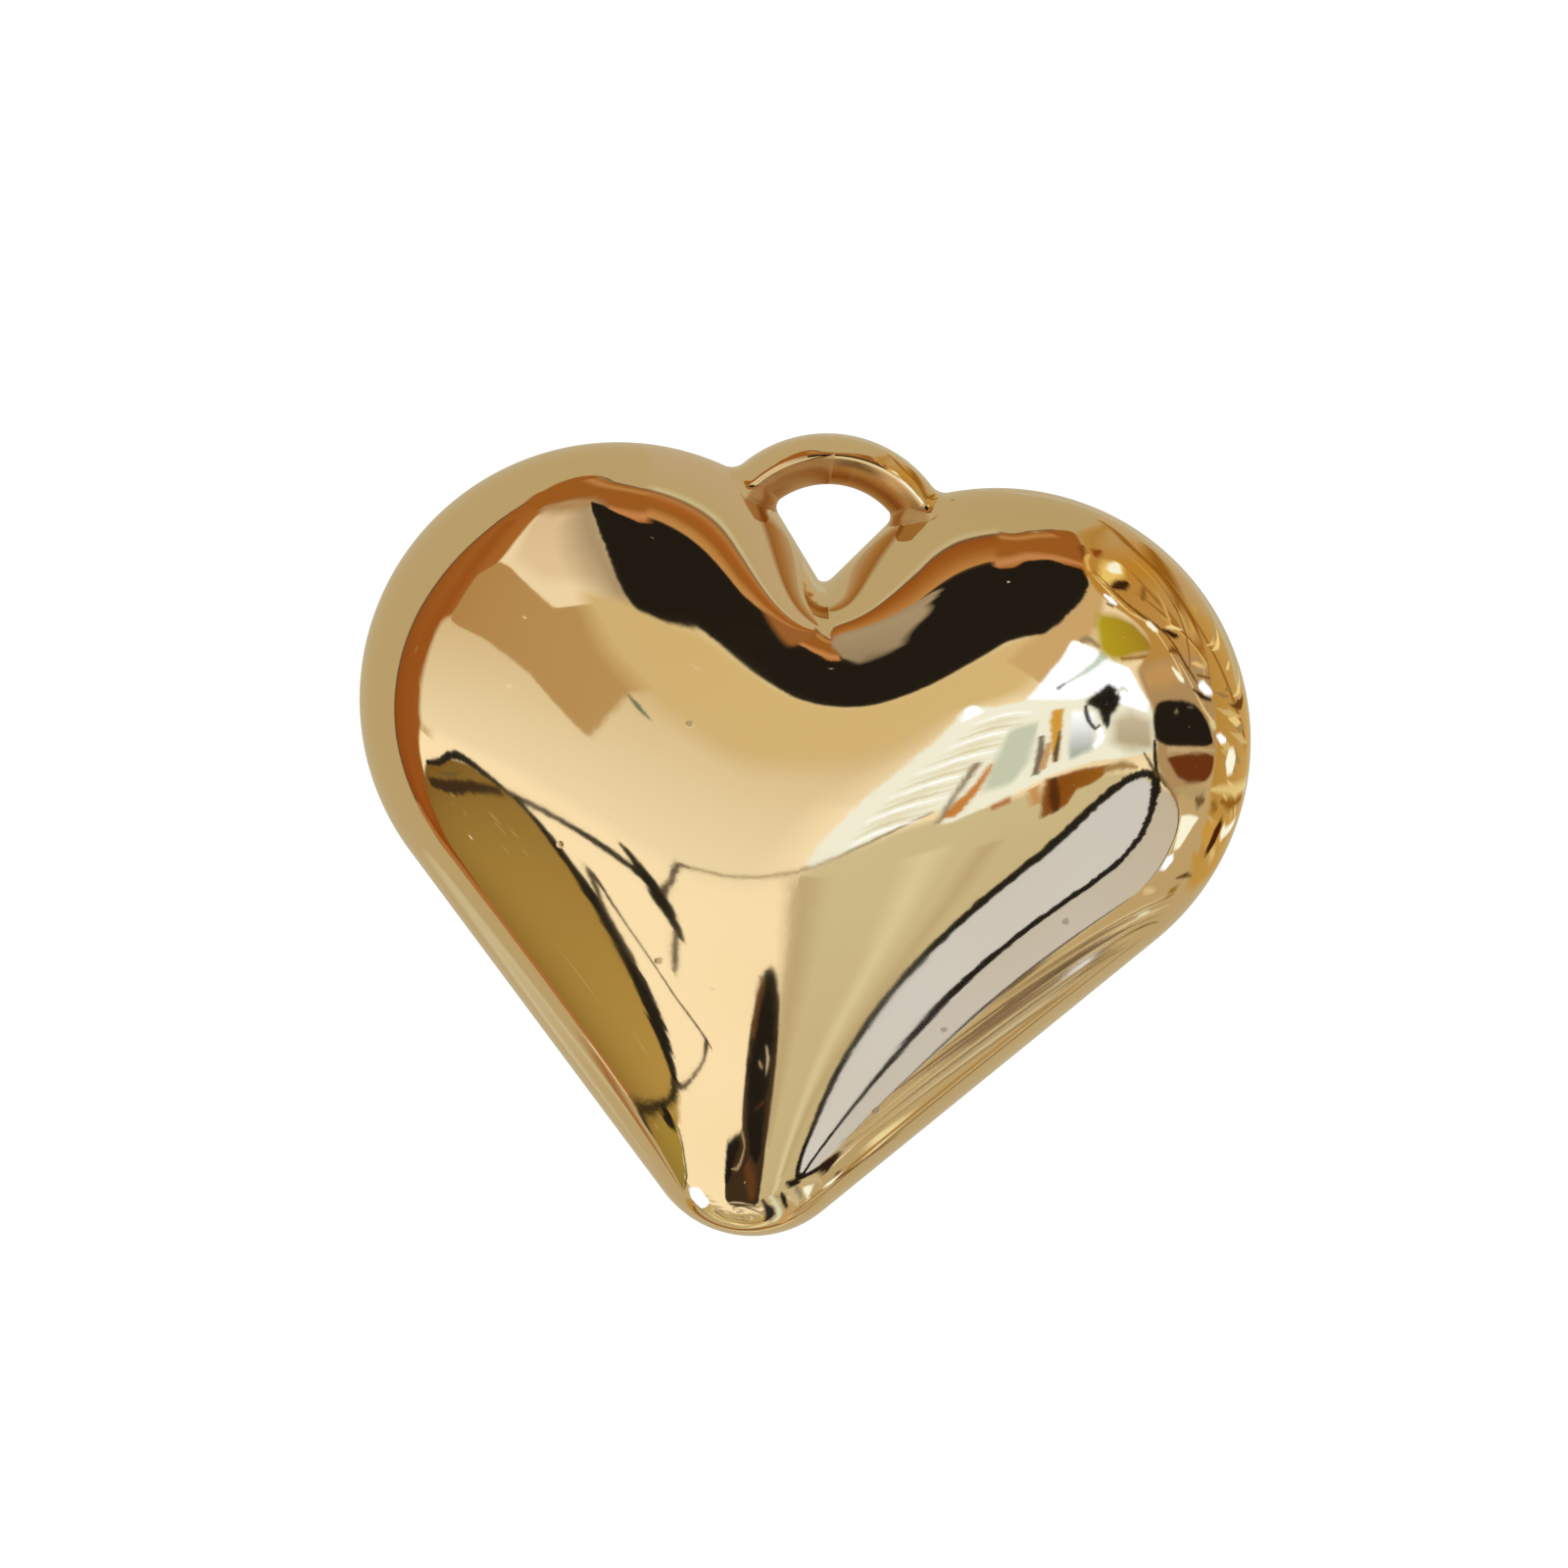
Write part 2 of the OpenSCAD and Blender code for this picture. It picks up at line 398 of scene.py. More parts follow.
class Finish:
    """A material or world under construction, node by node."""

    def __init__(self, owner):
        owner.use_nodes = True
        self.tree = owner.node_tree
        self.tree.nodes.clear()

    def node(self, kind, settings=(), **sockets):
        """A node of this kind, its settings set first, then its sockets.

        A socket is named by its label with _ for a space, or by its number
        after an s where labels repeat. Its value is a Wire, a socket or a
        plain value.
        """
        made = self.tree.nodes.new(kind)
        for key, value in dict(settings).items():
            setattr(made, key, value)
        for key, value in sockets.items():
            label = int(key[1:]) if key[1:].isdigit() else key.replace("_", " ")
            value = value.socket if isinstance(value, Wire) else value
            if isinstance(value, bpy.types.NodeSocket):
                self.tree.links.new(value, made.inputs[label])
            else:
                made.inputs[label].default_value = value
        return made

    def wire(self, made):
        """The number that comes out of a node first."""
        return Wire(self, made.outputs[0])

    def math(self, operation, a, b):
        return self.wire(self.node("ShaderNodeMath", {"operation": operation}, s0=a, s1=b))

    def ramp(self, value, low, high, out_low=0.0, out_high=1.0):
        """Value carried from low..high to out_low..out_high with soft ends."""
        return self.wire(self.node("ShaderNodeMapRange", {"interpolation_type": "SMOOTHSTEP"},
                                   s0=value, s1=low, s2=high, s3=out_low, s4=out_high))

    def mix(self, factor, a, b):
        """Colour a going over to colour b."""
        return self.node("ShaderNodeMix", {"data_type": "RGBA"}, s0=factor, s6=a, s7=b).outputs[2]

    def noise(self, place, waves, detail, seed):
        """Noise of this many waves a metre, its place shifted by seed."""
        shifted = self.node("ShaderNodeMapping", s0=place, s1=(seed, seed, seed)).outputs[0]
        return self.wire(self.node("ShaderNodeTexNoise", s2=waves, Vector=shifted, Detail=detail))

    def attribute(self, name, output="Fac"):
        """What each point of the mesh carries under this name."""
        return self.node("ShaderNodeAttribute", {"attribute_name": name}).outputs[output]


def gold_plate(look):
    """Mirror-bright gold plating.

    Two sizes of ripple, and sparse pits and nibs in random cells, as height
    in metres. The roughness rises a little in soft smudges.
    """
    material = bpy.data.materials.new("mirror_gold")
    f = Finish(material)
    place = f.node("ShaderNodeTexCoord").outputs["Object"]

    # Slow and fine ripple of the plating
    slow = f.noise(place, waves=260, detail=1.0, seed=0.31) - 0.5
    fine = f.noise(place, waves=2100, detail=2.0, seed=0.77) - 0.5
    height = slow * SLOW_HEIGHT * look.ripple + fine * FINE_HEIGHT * look.ripple

    # Pits and nibs: small dots in some of the cells of a random pattern
    cells = f.node("ShaderNodeTexVoronoi", {"voronoi_dimensions": "3D"}, Vector=place, Scale=520.0)
    chance = f.wire(f.node("ShaderNodeSeparateColor", s0=cells.outputs["Color"]))
    dot = f.ramp(f.wire(cells), 0.035, 0.085, 1.0, 0.0) * (chance > DOTTED)
    sunk = (chance > SUNK) * 2 - 1
    height = height - dot * sunk * DOT_HEIGHT * look.specks

    # The slope inside the loop is worn, so duller, and painted browner: a painted reflection of
    # the orange-brown it mirrors
    wear_and_reflection = Wire(f, f.attribute("wear_and_reflection"))
    smudge = f.ramp(f.noise(place, waves=120, detail=3.0, seed=2.6), 0.50, 0.72)
    rough = look.polish + smudge * 0.03 + dot * 0.25 + wear_and_reflection * 0.22
    richer = f.ramp(f.noise(place, waves=90, detail=2.0, seed=3.3), 0.35, 0.75)
    colour = f.mix(richer * 0.45, (*look.gold, 1), (*look.deep_gold, 1))
    colour = f.mix(dot * 0.45, colour, DOT_BROWN)
    # Painted reflection: the mirrored orange-brown painted into the slope inside the loop
    colour = f.mix(wear_and_reflection, colour, (*look.wear_and_reflection, 1))
    bump = f.node("ShaderNodeBump", Strength=1.0, Distance=1.0, Height=height)
    shader = f.node("ShaderNodeBsdfPrincipled", Base_Color=colour, Metallic=1.0,
                    Roughness=rough, Normal=bump.outputs[0])
    f.node("ShaderNodeOutputMaterial", Surface=shader.outputs[0])
    return material


def gold(look):
    """The gold plating, made once and shared by both pieces."""
    return bpy.data.materials.get("mirror_gold") or gold_plate(look)


class CHARM_OT_heart(Operator):
    """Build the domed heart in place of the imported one"""
    bl_idname = "charm.heart"
    bl_label = "Heart"

    def execute(self, context):
        scene = context.scene
        piece = mesh_object("puffed_heart", *dome(scene.charm_sizes), gold(scene.charm_finish))
        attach(piece, "root")
        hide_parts("heart_charm")
        return {"FINISHED"}


class CHARM_OT_loop(Operator):
    """Build the hanging loop that stands in the heart's cleft"""
    bl_idname = "charm.loop"
    bl_label = "Hanging loop"

    def execute(self, context):
        scene = context.scene
        points, triangles, quads, wear_and_reflection = ring(scene.charm_sizes)
        piece = mesh_object("hanging_loop", points, triangles, quads, gold(scene.charm_finish))
        # Share of wear and painted reflection on the loop, which the plating reads
        piece.data.attributes.new("wear_and_reflection", "FLOAT", "POINT").data.foreach_set("value", wear_and_reflection)
        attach(piece, "root")
        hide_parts("heart_charm")
        return {"FINISHED"}


def sight(studio):
    """Directions from the charm to the camera, and right and up in the picture."""
    a, e, r = studio.azimuth, studio.elevation, studio.roll
    back = np.array([math.sin(a) * math.cos(e), -math.cos(a) * math.cos(e), math.sin(e)])
    right = np.array([math.cos(a), math.sin(a), 0])
    up = np.cross(back, right)
    return back, math.cos(r) * right + math.sin(r) * up, math.cos(r) * up - math.sin(r) * right


def place_camera(studio):
    """Long lens on a camera that sees the charm a little from above.

    It looks at the point that brings the ring's centre to its place in the
    picture.
    """
    back, right, up = sight(studio)
    pixel = studio.view_w / PICTURE
    aim = -right * AIM[0] * pixel - up * AIM[1] * pixel
    data = bpy.data.cameras.new("camera")
    data.sensor_width = SENSOR
    data.lens = SENSOR * studio.distance / studio.view_w
    data.clip_start, data.clip_end = 0.01, 50
    camera = bpy.data.objects.new("camera", data)
    camera.matrix_world = matrix(right, up, back, aim + back * studio.distance)
    bpy.context.scene.collection.objects.link(camera)
    bpy.context.scene.camera = camera


def matrix(x, y, z, place):
    """A 4 x 4 matrix from three axes and a place."""
    made = np.eye(4)
    made[:3, 0], made[:3, 1], made[:3, 2], made[:3, 3] = x, y, z, place
    return Matrix(made.tolist())


def sphere_point(azimuth, elevation, radius):
    """Points on a sphere about the heart's middle, angles in degrees.

    Azimuth 0 is straight in front of the charm, 90 is to its right.
    """
    a, e = np.radians(azimuth), np.radians(elevation)
    flat = np.cos(e)
    return radius * np.stack([np.sin(a) * flat, -np.cos(a) * flat, np.sin(e)], -1) + MIDDLE


class Boards:
    """All the boards round the charm, gathered into one mesh.

    A later board stands a little nearer than the ones before it. Edges are
    slightly uneven, from a seeded generator. Tones are given as the gold
    shows them.
    """

    def __init__(self, radius):
        self.radius, self.layer, self.sheet = radius, 0, 0
        self.points, self.quads, self.tones, self.covers, self.sided = [], [], [], [], []
        self.count = 0
        self.random = np.random.default_rng(SEED)

    def add(self, points, glow, cover, closed, sided=0.0):
        """Adds a grid of points with its glow and its cover, 1 is solid.

        Where sided is 1 the grid is clear from behind.
        """
        rows, columns = points.shape[:2]
        self.points.append(points.reshape(-1, 3))
        self.tones.append(np.broadcast_to(glow, (rows, columns, 3)).reshape(-1, 3))
        self.covers.append(np.broadcast_to(cover, (rows, columns)).ravel())
        self.sided.append(np.full(rows * columns, sided))
        i, j = np.meshgrid(np.arange(rows - 1), np.arange(columns - (not closed)), indexing="ij")
        here, j2 = i * columns, (j + 1) % columns
        quads = np.stack([here + j, here + j2, here + columns + j2, here + columns + j], 2)
        self.quads.append(quads.reshape(-1, 4) + self.count)
        self.count += rows * columns

    def grid(self, azimuth, elevation, glow, cover, closed):
        """Adds a grid of directions, seen from the middle of the heart."""
        radius = self.radius * (1 - LAYER * self.layer)
        self.layer += 1
        self.add(sphere_point(azimuth, elevation, radius), glow, cover, closed)

    def uneven(self, n, size):
        """n random offsets of about this size that run on smoothly in a loop."""
        kick = self.random.normal(0, size, n)
        return (np.roll(kick, 1) + 2 * kick + np.roll(kick, -1)) / 3

    def board(self, corners, tone, soft=0.5, smooth=2, far_tone=None, fade=(1, 0), rough=0.05):
        """A board with this outline of (azimuth, elevation) corners.

        The outline is the polygon through the corners, rounded by averaging
        it over smooth points to each side. Rings of the grid are the outline
        drawn towards its middle, and the last two, soft degrees apart, fade
        the edge out. The tone goes over to far_tone in the direction of fade.
        """
        corners = np.array(corners, float)
        ends = np.concatenate([corners, corners[:1]])
        run = np.concatenate([[0], np.cumsum(np.hypot(*np.diff(ends, axis=0).T))])
        at = np.linspace(0, run[-1], EDGE, endpoint=False)
        edge = np.stack([np.interp(at, run, ends[:, 0]), np.interp(at, run, ends[:, 1])], 1)
        for _ in range(2):
            edge = sum(np.roll(edge, k, 0) for k in range(-smooth, smooth + 1)) / (2 * smooth + 1)
        middle = edge.mean(0)
        out = edge - middle
        far = np.hypot(out[:, 0], out[:, 1])[:, None]
        out = out * (1 + self.uneven(EDGE, rough)[:, None] / far)
        inner = out * (1 - np.minimum(0.5 * soft / far, 0.9))
        outer = out * (1 + 0.5 * soft / far)
        solid = [inner * u for u in np.linspace(0.02, 1, 8)]
        rows = np.stack([*solid, (inner + outer) / 2, outer])
        cover = np.ones(rows.shape[:2])
        cover[-2], cover[-1] = 0.5, 0
        glow = seen(tone)
        if far_tone is not None:
            along = rows @ (np.array(fade) / np.hypot(*fade))
            share = (along - along.min()) / (along.max() - along.min())
            glow = glow + (seen(far_tone) - glow) * share[..., None]
        spot = middle + rows
        self.grid(spot[..., 0], spot[..., 1], glow, cover, True)

    def strip(self, tone, soft, *path, rough=0.06):
        """A strip along a smooth path of (azimuth, elevation, width) points."""
        self.ribbon(seen(tone), soft, path, rough)

    def strips(self, *rows):
        """Strips in order, each row its tone, its soft edge and its path."""
        for row in rows:
            self.strip(*row)

    def ribbon(self, glow, soft, path, rough=0.06):
        """The grid of a strip in this glow.

        The path is a chain of cubic arcs through its points, the widths are
        carried along it, and soft degrees on both sides fade out.
        """
        path = np.array(path, float)
        path, widths = path[:, :2], path[:, 2]
        last = len(path) - 1
        t = np.linspace(0, last, STRETCH * last + 1)
        k = np.minimum(t.astype(int), last - 1)
        u = (t - k)[:, None]
        wide = np.concatenate([[2 * path[0] - path[1]], path, [2 * path[-1] - path[-2]]])
        p0, p1, p2, p3 = wide[k], wide[k + 1], wide[k + 2], wide[k + 3]
        line = 0.5 * (2 * p1 + (p2 - p0) * u + (2 * p0 - 5 * p1 + 4 * p2 - p3) * u ** 2
                      + (3 * p1 - p0 - 3 * p2 + p3) * u ** 3)
        run = np.gradient(line, axis=0)
        side = np.stack([-run[:, 1], run[:, 0]], 1) / np.hypot(run[:, 0], run[:, 1])[:, None]
        width = np.interp(t, np.arange(last + 1), widths)
        rough = rough / max(1, soft)
        low = np.maximum(width * (0.5 + self.uneven(len(t), rough)), 0.01)
        high = np.maximum(width * (0.5 + self.uneven(len(t), rough)), 0.01)
        blur = np.minimum(soft / 2, 0.9 * np.minimum(low, high))
        solid = np.linspace(0, 1, 6)
        across = (blur - low)[:, None] + (low + high - 2 * blur)[:, None] * solid
        offsets = np.concatenate([(-low - blur)[:, None], across, (high + blur)[:, None]], 1)
        spot = line[:, None] + side[:, None] * offsets[..., None]
        cover = [0.0, *[1.0] * len(solid), 0.0]
        self.grid(spot[..., 0], spot[..., 1], glow, cover, False)

    def streaks(self, n, low, high, rise, dark, light):
        """n fine streaks at random, together about one layer thick.

        Low and high bound their start, length and width in degrees, rise is
        their slope, and their glow lies between those of dark and light.
        """
        dark, light = seen(dark), seen(light)
        for _ in range(n):
            azimuth, elevation, run, wide = self.random.uniform(low, high)
            glow = dark + (light - dark) * self.random.random()
            path = [(azimuth + u * run, elevation + u * rise * run, width)
                    for u, width in ((0, 0.1), (0.5, wide), (1, 0.1))]
            self.ribbon(glow, 0.4, path)
            self.layer -= 1 - 1 / n

    def curtain(self, side, pivot, radii, stops, ragged=0.0):
        """Upright screen by the heart's middle plane, above the cleft.

        It keeps a wall of the cleft from mirroring the far boards that stand
        beyond the other lobe. It is a fan about pivot, a (y, z) point in mm,
        seen by the lobe on the given side only, -1 for the left. The stops
        are two angles above the front, one near the pivot and one far from
        it, with a tone and a cover. It fades over the last radius, and leans
        to its side, so that the top of the ring doesn't see it.
        """
        at = np.linspace(0, len(stops) - 1, 8 * len(stops))
        near, far, tones, cover = zip(*stops)
        near, far, cover, *glow = (np.interp(at, range(len(stops)), row) for row in (
            near, far, cover, *np.transpose([seen(tone) for tone in tones])))
        radii = np.array(radii)
        radius = radii * mm * np.ones((len(at), 1))
        if ragged:
            radius[:, -2:] *= 1 + self.uneven(len(at), ragged)[:, None]
        share = np.clip((radii - radii[0]) / (radii[-2] - radii[0]), 0, 1)
        angle = np.radians(near[:, None] + (far - near)[:, None] * share)
        self.sheet += 1
        x = side * (LEAN * np.minimum(radii / LEAN_OVER, 1) + SHEET * self.sheet)
        y, z = (place * mm for place in pivot)
        y, z = y - radius * np.cos(angle), z + radius * np.sin(angle)
        points = np.stack([0 * angle + x, y, z], 2)
        order = slice(None, None, -side)
        cover = cover[:, None] * ([1] * (len(radii) - 1) + [0])
        self.add(points[order], np.stack(glow, 1)[order, None], cover[order], False, 1.0)

    def build(self, material):
        """One object with the tone and the cover of each point."""
        made = mesh_object("boards", np.concatenate(self.points), NO_TRIANGLES,
                           np.concatenate(self.quads), material)
        glow = np.concatenate(self.tones)
        glow = np.concatenate([glow, np.ones((len(glow), 1))], 1)
        tone = made.data.attributes.new("tone", "FLOAT_COLOR", "POINT")
        tone.data.foreach_set("color", glow.ravel())
        for name, values in (("cover", self.covers), ("sided", self.sided)):
            attribute = made.data.attributes.new(name, "FLOAT", "POINT")
            attribute.data.foreach_set("value", np.concatenate(values))
        return made


def board_finish():
    """Even glow in each board's own tone, clear where its cover runs out."""
    material = bpy.data.materials.new("boards")
    f = Finish(material)
    hue = f.attribute("tone", "Color")
    cover, sided = Wire(f, f.attribute("cover")), Wire(f, f.attribute("sided"))
    behind = Wire(f, f.node("ShaderNodeNewGeometry").outputs["Backfacing"])
    cover = cover * (1 - sided * behind)
    glow = f.node("ShaderNodeEmission", Color=hue, Strength=1.0).outputs[0]
    clear = f.node("ShaderNodeBsdfTransparent").outputs[0]
    f.node("ShaderNodeOutputMaterial",
           Surface=f.node("ShaderNodeMixShader", s0=cover, s1=clear, s2=glow).outputs[0])
    return material


def seen(colour):
    """Glow of a board that the gold shows in this colour, 0 to 255 a channel.

    The colour is made linear and divided by the gold's own. A fourth number
    multiplies the glow, for lights brighter than the channels can say.
    """
    *channels, more = (*colour, 1.0)[:4]
    value = np.array(channels) / 255
    linear = np.where(value <= 0.04045, value / 12.92, ((value + 0.055) / 1.055) ** 2.4)
    return linear / MIRROR * more


# Tones of the boards as the gold shows them, 0 to 255 a channel
BLACK = (32, 26, 18)
UMBER = (62, 44, 26)
BROWN = (96, 58, 26)
AMBER = (134, 62, 14)
LIGHT_AMBER = (164, 98, 38)
ORANGE = (152, 88, 30)
PALE_ORANGE = (184, 126, 64)
KHAKI = (184, 156, 104)
PALE_KHAKI = (200, 178, 130)
TAN = (174, 128, 70)
MID_TAN = (185, 145, 86)
PALE_TAN = (208, 175, 116)
CREAM = (238, 214, 164)
BEIGE = (204, 184, 134)
DEEP_BEIGE = (190, 164, 112)
OLIVE = (116, 80, 29)
LIGHT_OLIVE = (168, 134, 52)
GREY = (204, 196, 182)
WARM_GREY = (192, 174, 144)
MIST = (196, 198, 168)
WHITE = (253, 252, 250, 1.15)
PALE_YELLOW = (250, 244, 212)
LEMON = (182, 158, 30)
RUST = (104, 50, 18)
OLD_GOLD = (182, 126, 46)
DEEP_GOLD = (146, 92, 26)
PEACH = (190, 158, 104)
DULL = (156, 132, 96)
# Painted reflection of the loop's worn slope, as the cleft's walls would mirror it
MIRRORED_SLOPE_BROWN = (146, 92, 36)


def backdrop(b):
    """Khaki all round behind the charm, in three grids of directions."""
    for azimuths, elevations in (((84, 291, 60), (-53, 90, 40)), ((-70, 84, 40), (70, 90, 8)),
                                 ((66, 262, 60), (-90, -52, 12))):
        azimuth, elevation = np.meshgrid(np.linspace(*azimuths), np.linspace(*elevations),
                                         indexing="ij")
        b.grid(azimuth, elevation, seen(KHAKI), 1.0, False)


def over_the_top(b):
    """Orange over the top, with a pale upper part and a thin dark edge."""
    top = [(-100, 75.5, 5), (-90, 73, 12), (-80, 70.7, 17.5), (-75, 68.5, 23), (-60, 65, 30),
           (-50, 65.2, 28.5), (-40, 67, 24), (-28, 68, 21), (-10, 64, 27), (0, 62, 29),
           (10, 62.6, 27), (30, 64.6, 27), (40, 64, 29), (60, 71, 14), (80, 72.5, 8), (95, 72, 2)]
    b.strip(ORANGE, 2, *top, rough=0)
    b.strip(PALE_ORANGE, 5, *((a, e + w / 2 - 4, 3) for a, e, w in top[2:14]), rough=0)
    b.strip((196, 130, 74), 4, (-16, 57.4, 3), (0, 54.4, 5), (14, 58, 5), (30, 57.6, 4),
        (42, 55, 2))
    b.strip((104, 78, 50), 1.2, *((a, e + w / 2, 0.9) for a, e, w in top[1:15]), rough=0)


def upper_left(b):
    """Cream above and below the tan board, and the amber upright on the left."""
    b.board([(-50, 54), (-44, 42), (-38, 31), (-24, 24), (-10, 26), (-14, 44), (-28, 61),
        (-42, 60)], (226, 196, 148), 5, 3, (212, 178, 132), (0, 1))
    b.strip((200, 168, 114), 9, (-44, 18, 8), (-51, 8, 10), (-56, -6, 10), (-59, -18, 6))
    # Amber upright with a thin brown outer edge
    outer = [(-75, 57), (-73, 48), (-73, 40), (-76, 25), (-80, 10), (-83, -5), (-85, -20),
             (-86, -35), (-90, -52)]
    b.board([*outer, (-92, -55), (-78, -48), (-70, -40), (-66, -30), (-64, -20), (-60, -15),
        (-59, -8), (-57, 2), (-52, 11), (-48, 20), (-45, 28), (-44, 34), (-46, 43), (-50, 53)],
        AMBER, 2.4, 2, LIGHT_AMBER, (1, 0.15), rough=0)
    b.strip((150, 80, 26), 6, (-62, 48, 6), (-58, 36, 8), (-58, 22, 8), (-64, 6, 7), (-70, -10, 6),
        (-74, -28, 5), (-79, -42, 2), rough=0)
    b.strip((84, 66, 44), 1.6, *((a + 0.4, e, 1.4) for a, e in outer), rough=0)


def middle(b):
    """Tan and cream boards over the full middle, and the dark board above."""
    # Greyer stretch beside the dark board, and darker at the top
    b.strips(
        ((172, 146, 106), 11, (-30, 60, 8), (-22, 51, 13), (-14, 39, 13), (-7, 27, 10),
         (-3, 19, 5)),
        ((172, 132, 84), 7, (-54, 55, 3), (-40, 57, 9), (-27, 60, 8)))
    # Veil over the middle, paler downwards
    b.board([(-58, 13), (-30, 12), (8, 16), (9, 4), (5, -6), (2, -15), (-12, -18), (-40, -17),
        (-62, -16)], (204, 171, 117), 3, 4, CREAM, (0, -1))
    # Tan board upper left, and its paler run to the middle and to the right
    b.board([(-53, 12), (-51, 26), (-44, 30.5), (-38, 28.5), (-30, 24), (-19, 17), (-12, 19.5),
        (-1, 21.5), (2, 12), (-3, 8), (-7, 4.5), (-13.5, -5.5), (-22, 2), (-28, 5), (-36, 8),
        (-45, 10)], TAN, 0.7, 1, MID_TAN)
    b.board([(-14, 22), (3, 23), (17, 27), (21, 22), (16, 13), (9, 12), (7, 5), (1, 1), (-4, 5),
        (-9, 11)], PALE_TAN, 5, 3, (212, 178, 112))
    b.strips(
        ((202, 162, 104), 2, (15, 17, 11), (23, 26, 10), (31, 36, 8), (38, 46, 6)),
        ((112, 112, 78), 0.3, (-7, 4.6, 0.3), (-6.2, 3.4, 0.9), (-5.2, 2, 0.3)))
    # Dark board above
    b.board([(-29, 61.5), (-20, 59.5), (-10, 55), (0, 51), (6, 51.5), (12, 55.5), (25, 57),
        (32, 54), (39.5, 52), (36, 45.5), (30, 39), (24, 33), (19, 27.5), (16.5, 25.8), (11, 25.4),
        (8.6, 24.8), (5.4, 22.6), (2.6, 21.4), (0, 21.2), (-3, 21.6), (-6, 27), (-10, 37),
        (-14, 44), (-18, 50), (-24, 56.5)], BLACK, 0.7, 1, rough=0.16)


def lower_left(b):
    """Olive board lower left, the thin one under it and fine dark strokes."""
    b.strip((158, 104, 52), 0.8, (-100, -53.2, 0.5), (-112, -52.4, 1.6), (-120, -53, 1.6),
        (-126, -56, 0.5))
    b.board([(-48, -52.4), (-58, -55), (-66, -57.2), (-85, -59.8), (-104, -59.2), (-114, -57.6),
        (-122, -56.2), (-112, -54.8), (-101, -54.4), (-88, -53.6), (-75, -53), (-62, -52.6)],
        LIGHT_OLIVE, 0.5, 1, (142, 116, 50), (-1, 0))
    b.strip((96, 76, 38), 0.4, (-54, -54.2, 0.3), (-66, -57.4, 0.5), (-85, -60, 0.6),
        (-104, -59.5, 0.6), (-118, -57.4, 0.3))
    b.board([(-66, -29), (-62, -25.5), (-52, -22.5), (-42, -21), (-32, -22), (-28, -25),
        (-25.8, -31), (-26.6, -37), (-30, -42.6), (-36.4, -48), (-48, -52.6), (-68, -55.4),
        (-92, -55.4), (-92, -52), (-84, -49), (-74, -42)], OLIVE, 1.0, 2, (178, 140, 64),
        (1, -2.1))
    b.strips(
        ((168, 106, 50), 1, (-85, -38, 3.6), (-88, -46, 4.6), (-93, -52, 5), (-94.6, -54, 4),
         (-95, -56, 2)),
        (PALE_KHAKI, 2, (-150, -38, 2), (-130, -44.6, 3), (-117, -51, 1.4)))
    b.streaks(14, [-60, -48, 0.3, 0.1], [-34, -28, 1.6, 0.3], -0.8, (196, 168, 104),
        (226, 200, 140))
    b.strips(
        (BLACK, 0.5, (-67, -55, 0.6), (-60, -54.2, 1.8), (-55, -53, 0.8)),
        (BLACK, 0.3, (-104, -54.4, 0.5), (-80, -55, 0.6), (-62, -53.6, 0.5), (-46, -50.6, 0.6),
         (-36, -46.8, 1.0), (-30.5, -42, 2.8), (-26.8, -37, 3.6), (-25.6, -31, 3.0),
         (-27.4, -25.6, 1.8), (-31, -22.4, 1.0)),
        (UMBER, 0.8, (-64, -30.8, 2.4), (-52, -29.4, 3.4), (-43, -26.4, 2.6), (-33, -23.4, 1.4)),
        (BLACK, 0.3, (-62, -25.6, 1.2), (-54, -24, 1.4), (-47, -20.8, 1.9), (-42, -20, 2.2),
         (-36, -21.2, 1.6), (-31, -22.8, 1.2)),
        ((110, 84, 40), 0.5, (-58, -27.4, 0.3), (-50, -26, 1.2), (-44, -23.6, 0.3)))
    # Thin strokes between the olive board and the middle
    b.strips(
        (BLACK, 0.25, (-31, -22.8, 1.4), (-24, -21.8, 1.0), (-18, -21.2, 1.1), (-13, -21.4, 1.2)),
        (BLACK, 0.3, (-14.6, -18.8, 0.6), (-13.4, -20.4, 1.8), (-12.2, -23, 2.8),
         (-11.4, -26, 1.0)),
        (UMBER, 0.25, (-16, -31, 0.3), (-14, -28.6, 0.8), (-11.6, -25, 0.5)),
        (UMBER, 0.25, (-11.8, -22, 0.7), (-9.6, -19.6, 0.5), (-8, -17, 0.6), (-6.4, -16.4, 0.3)),
        ((128, 104, 66), 0.25, (-6.4, -16.4, 0.25), (0, -14.4, 0.25), (6, -11.8, 0.4),
         (10, -8.6, 0.5), (14, -5, 0.4)),
        (UMBER, 0.3, (-26, -37, 0.6), (-24.4, -31, 0.6), (-22.4, -26.8, 1.1), (-21.6, -30, 0.6),
         (-18.6, -33.6, 0.5), (-15, -35.2, 0.5), (-12.6, -36.4, 0.4)),
        (UMBER, 0.25, (-38, -47.6, 0.8), (-31, -45.8, 0.5), (-23, -42.4, 0.35), (-17, -39, 0.4),
         (-13.2, -35.6, 0.8)))


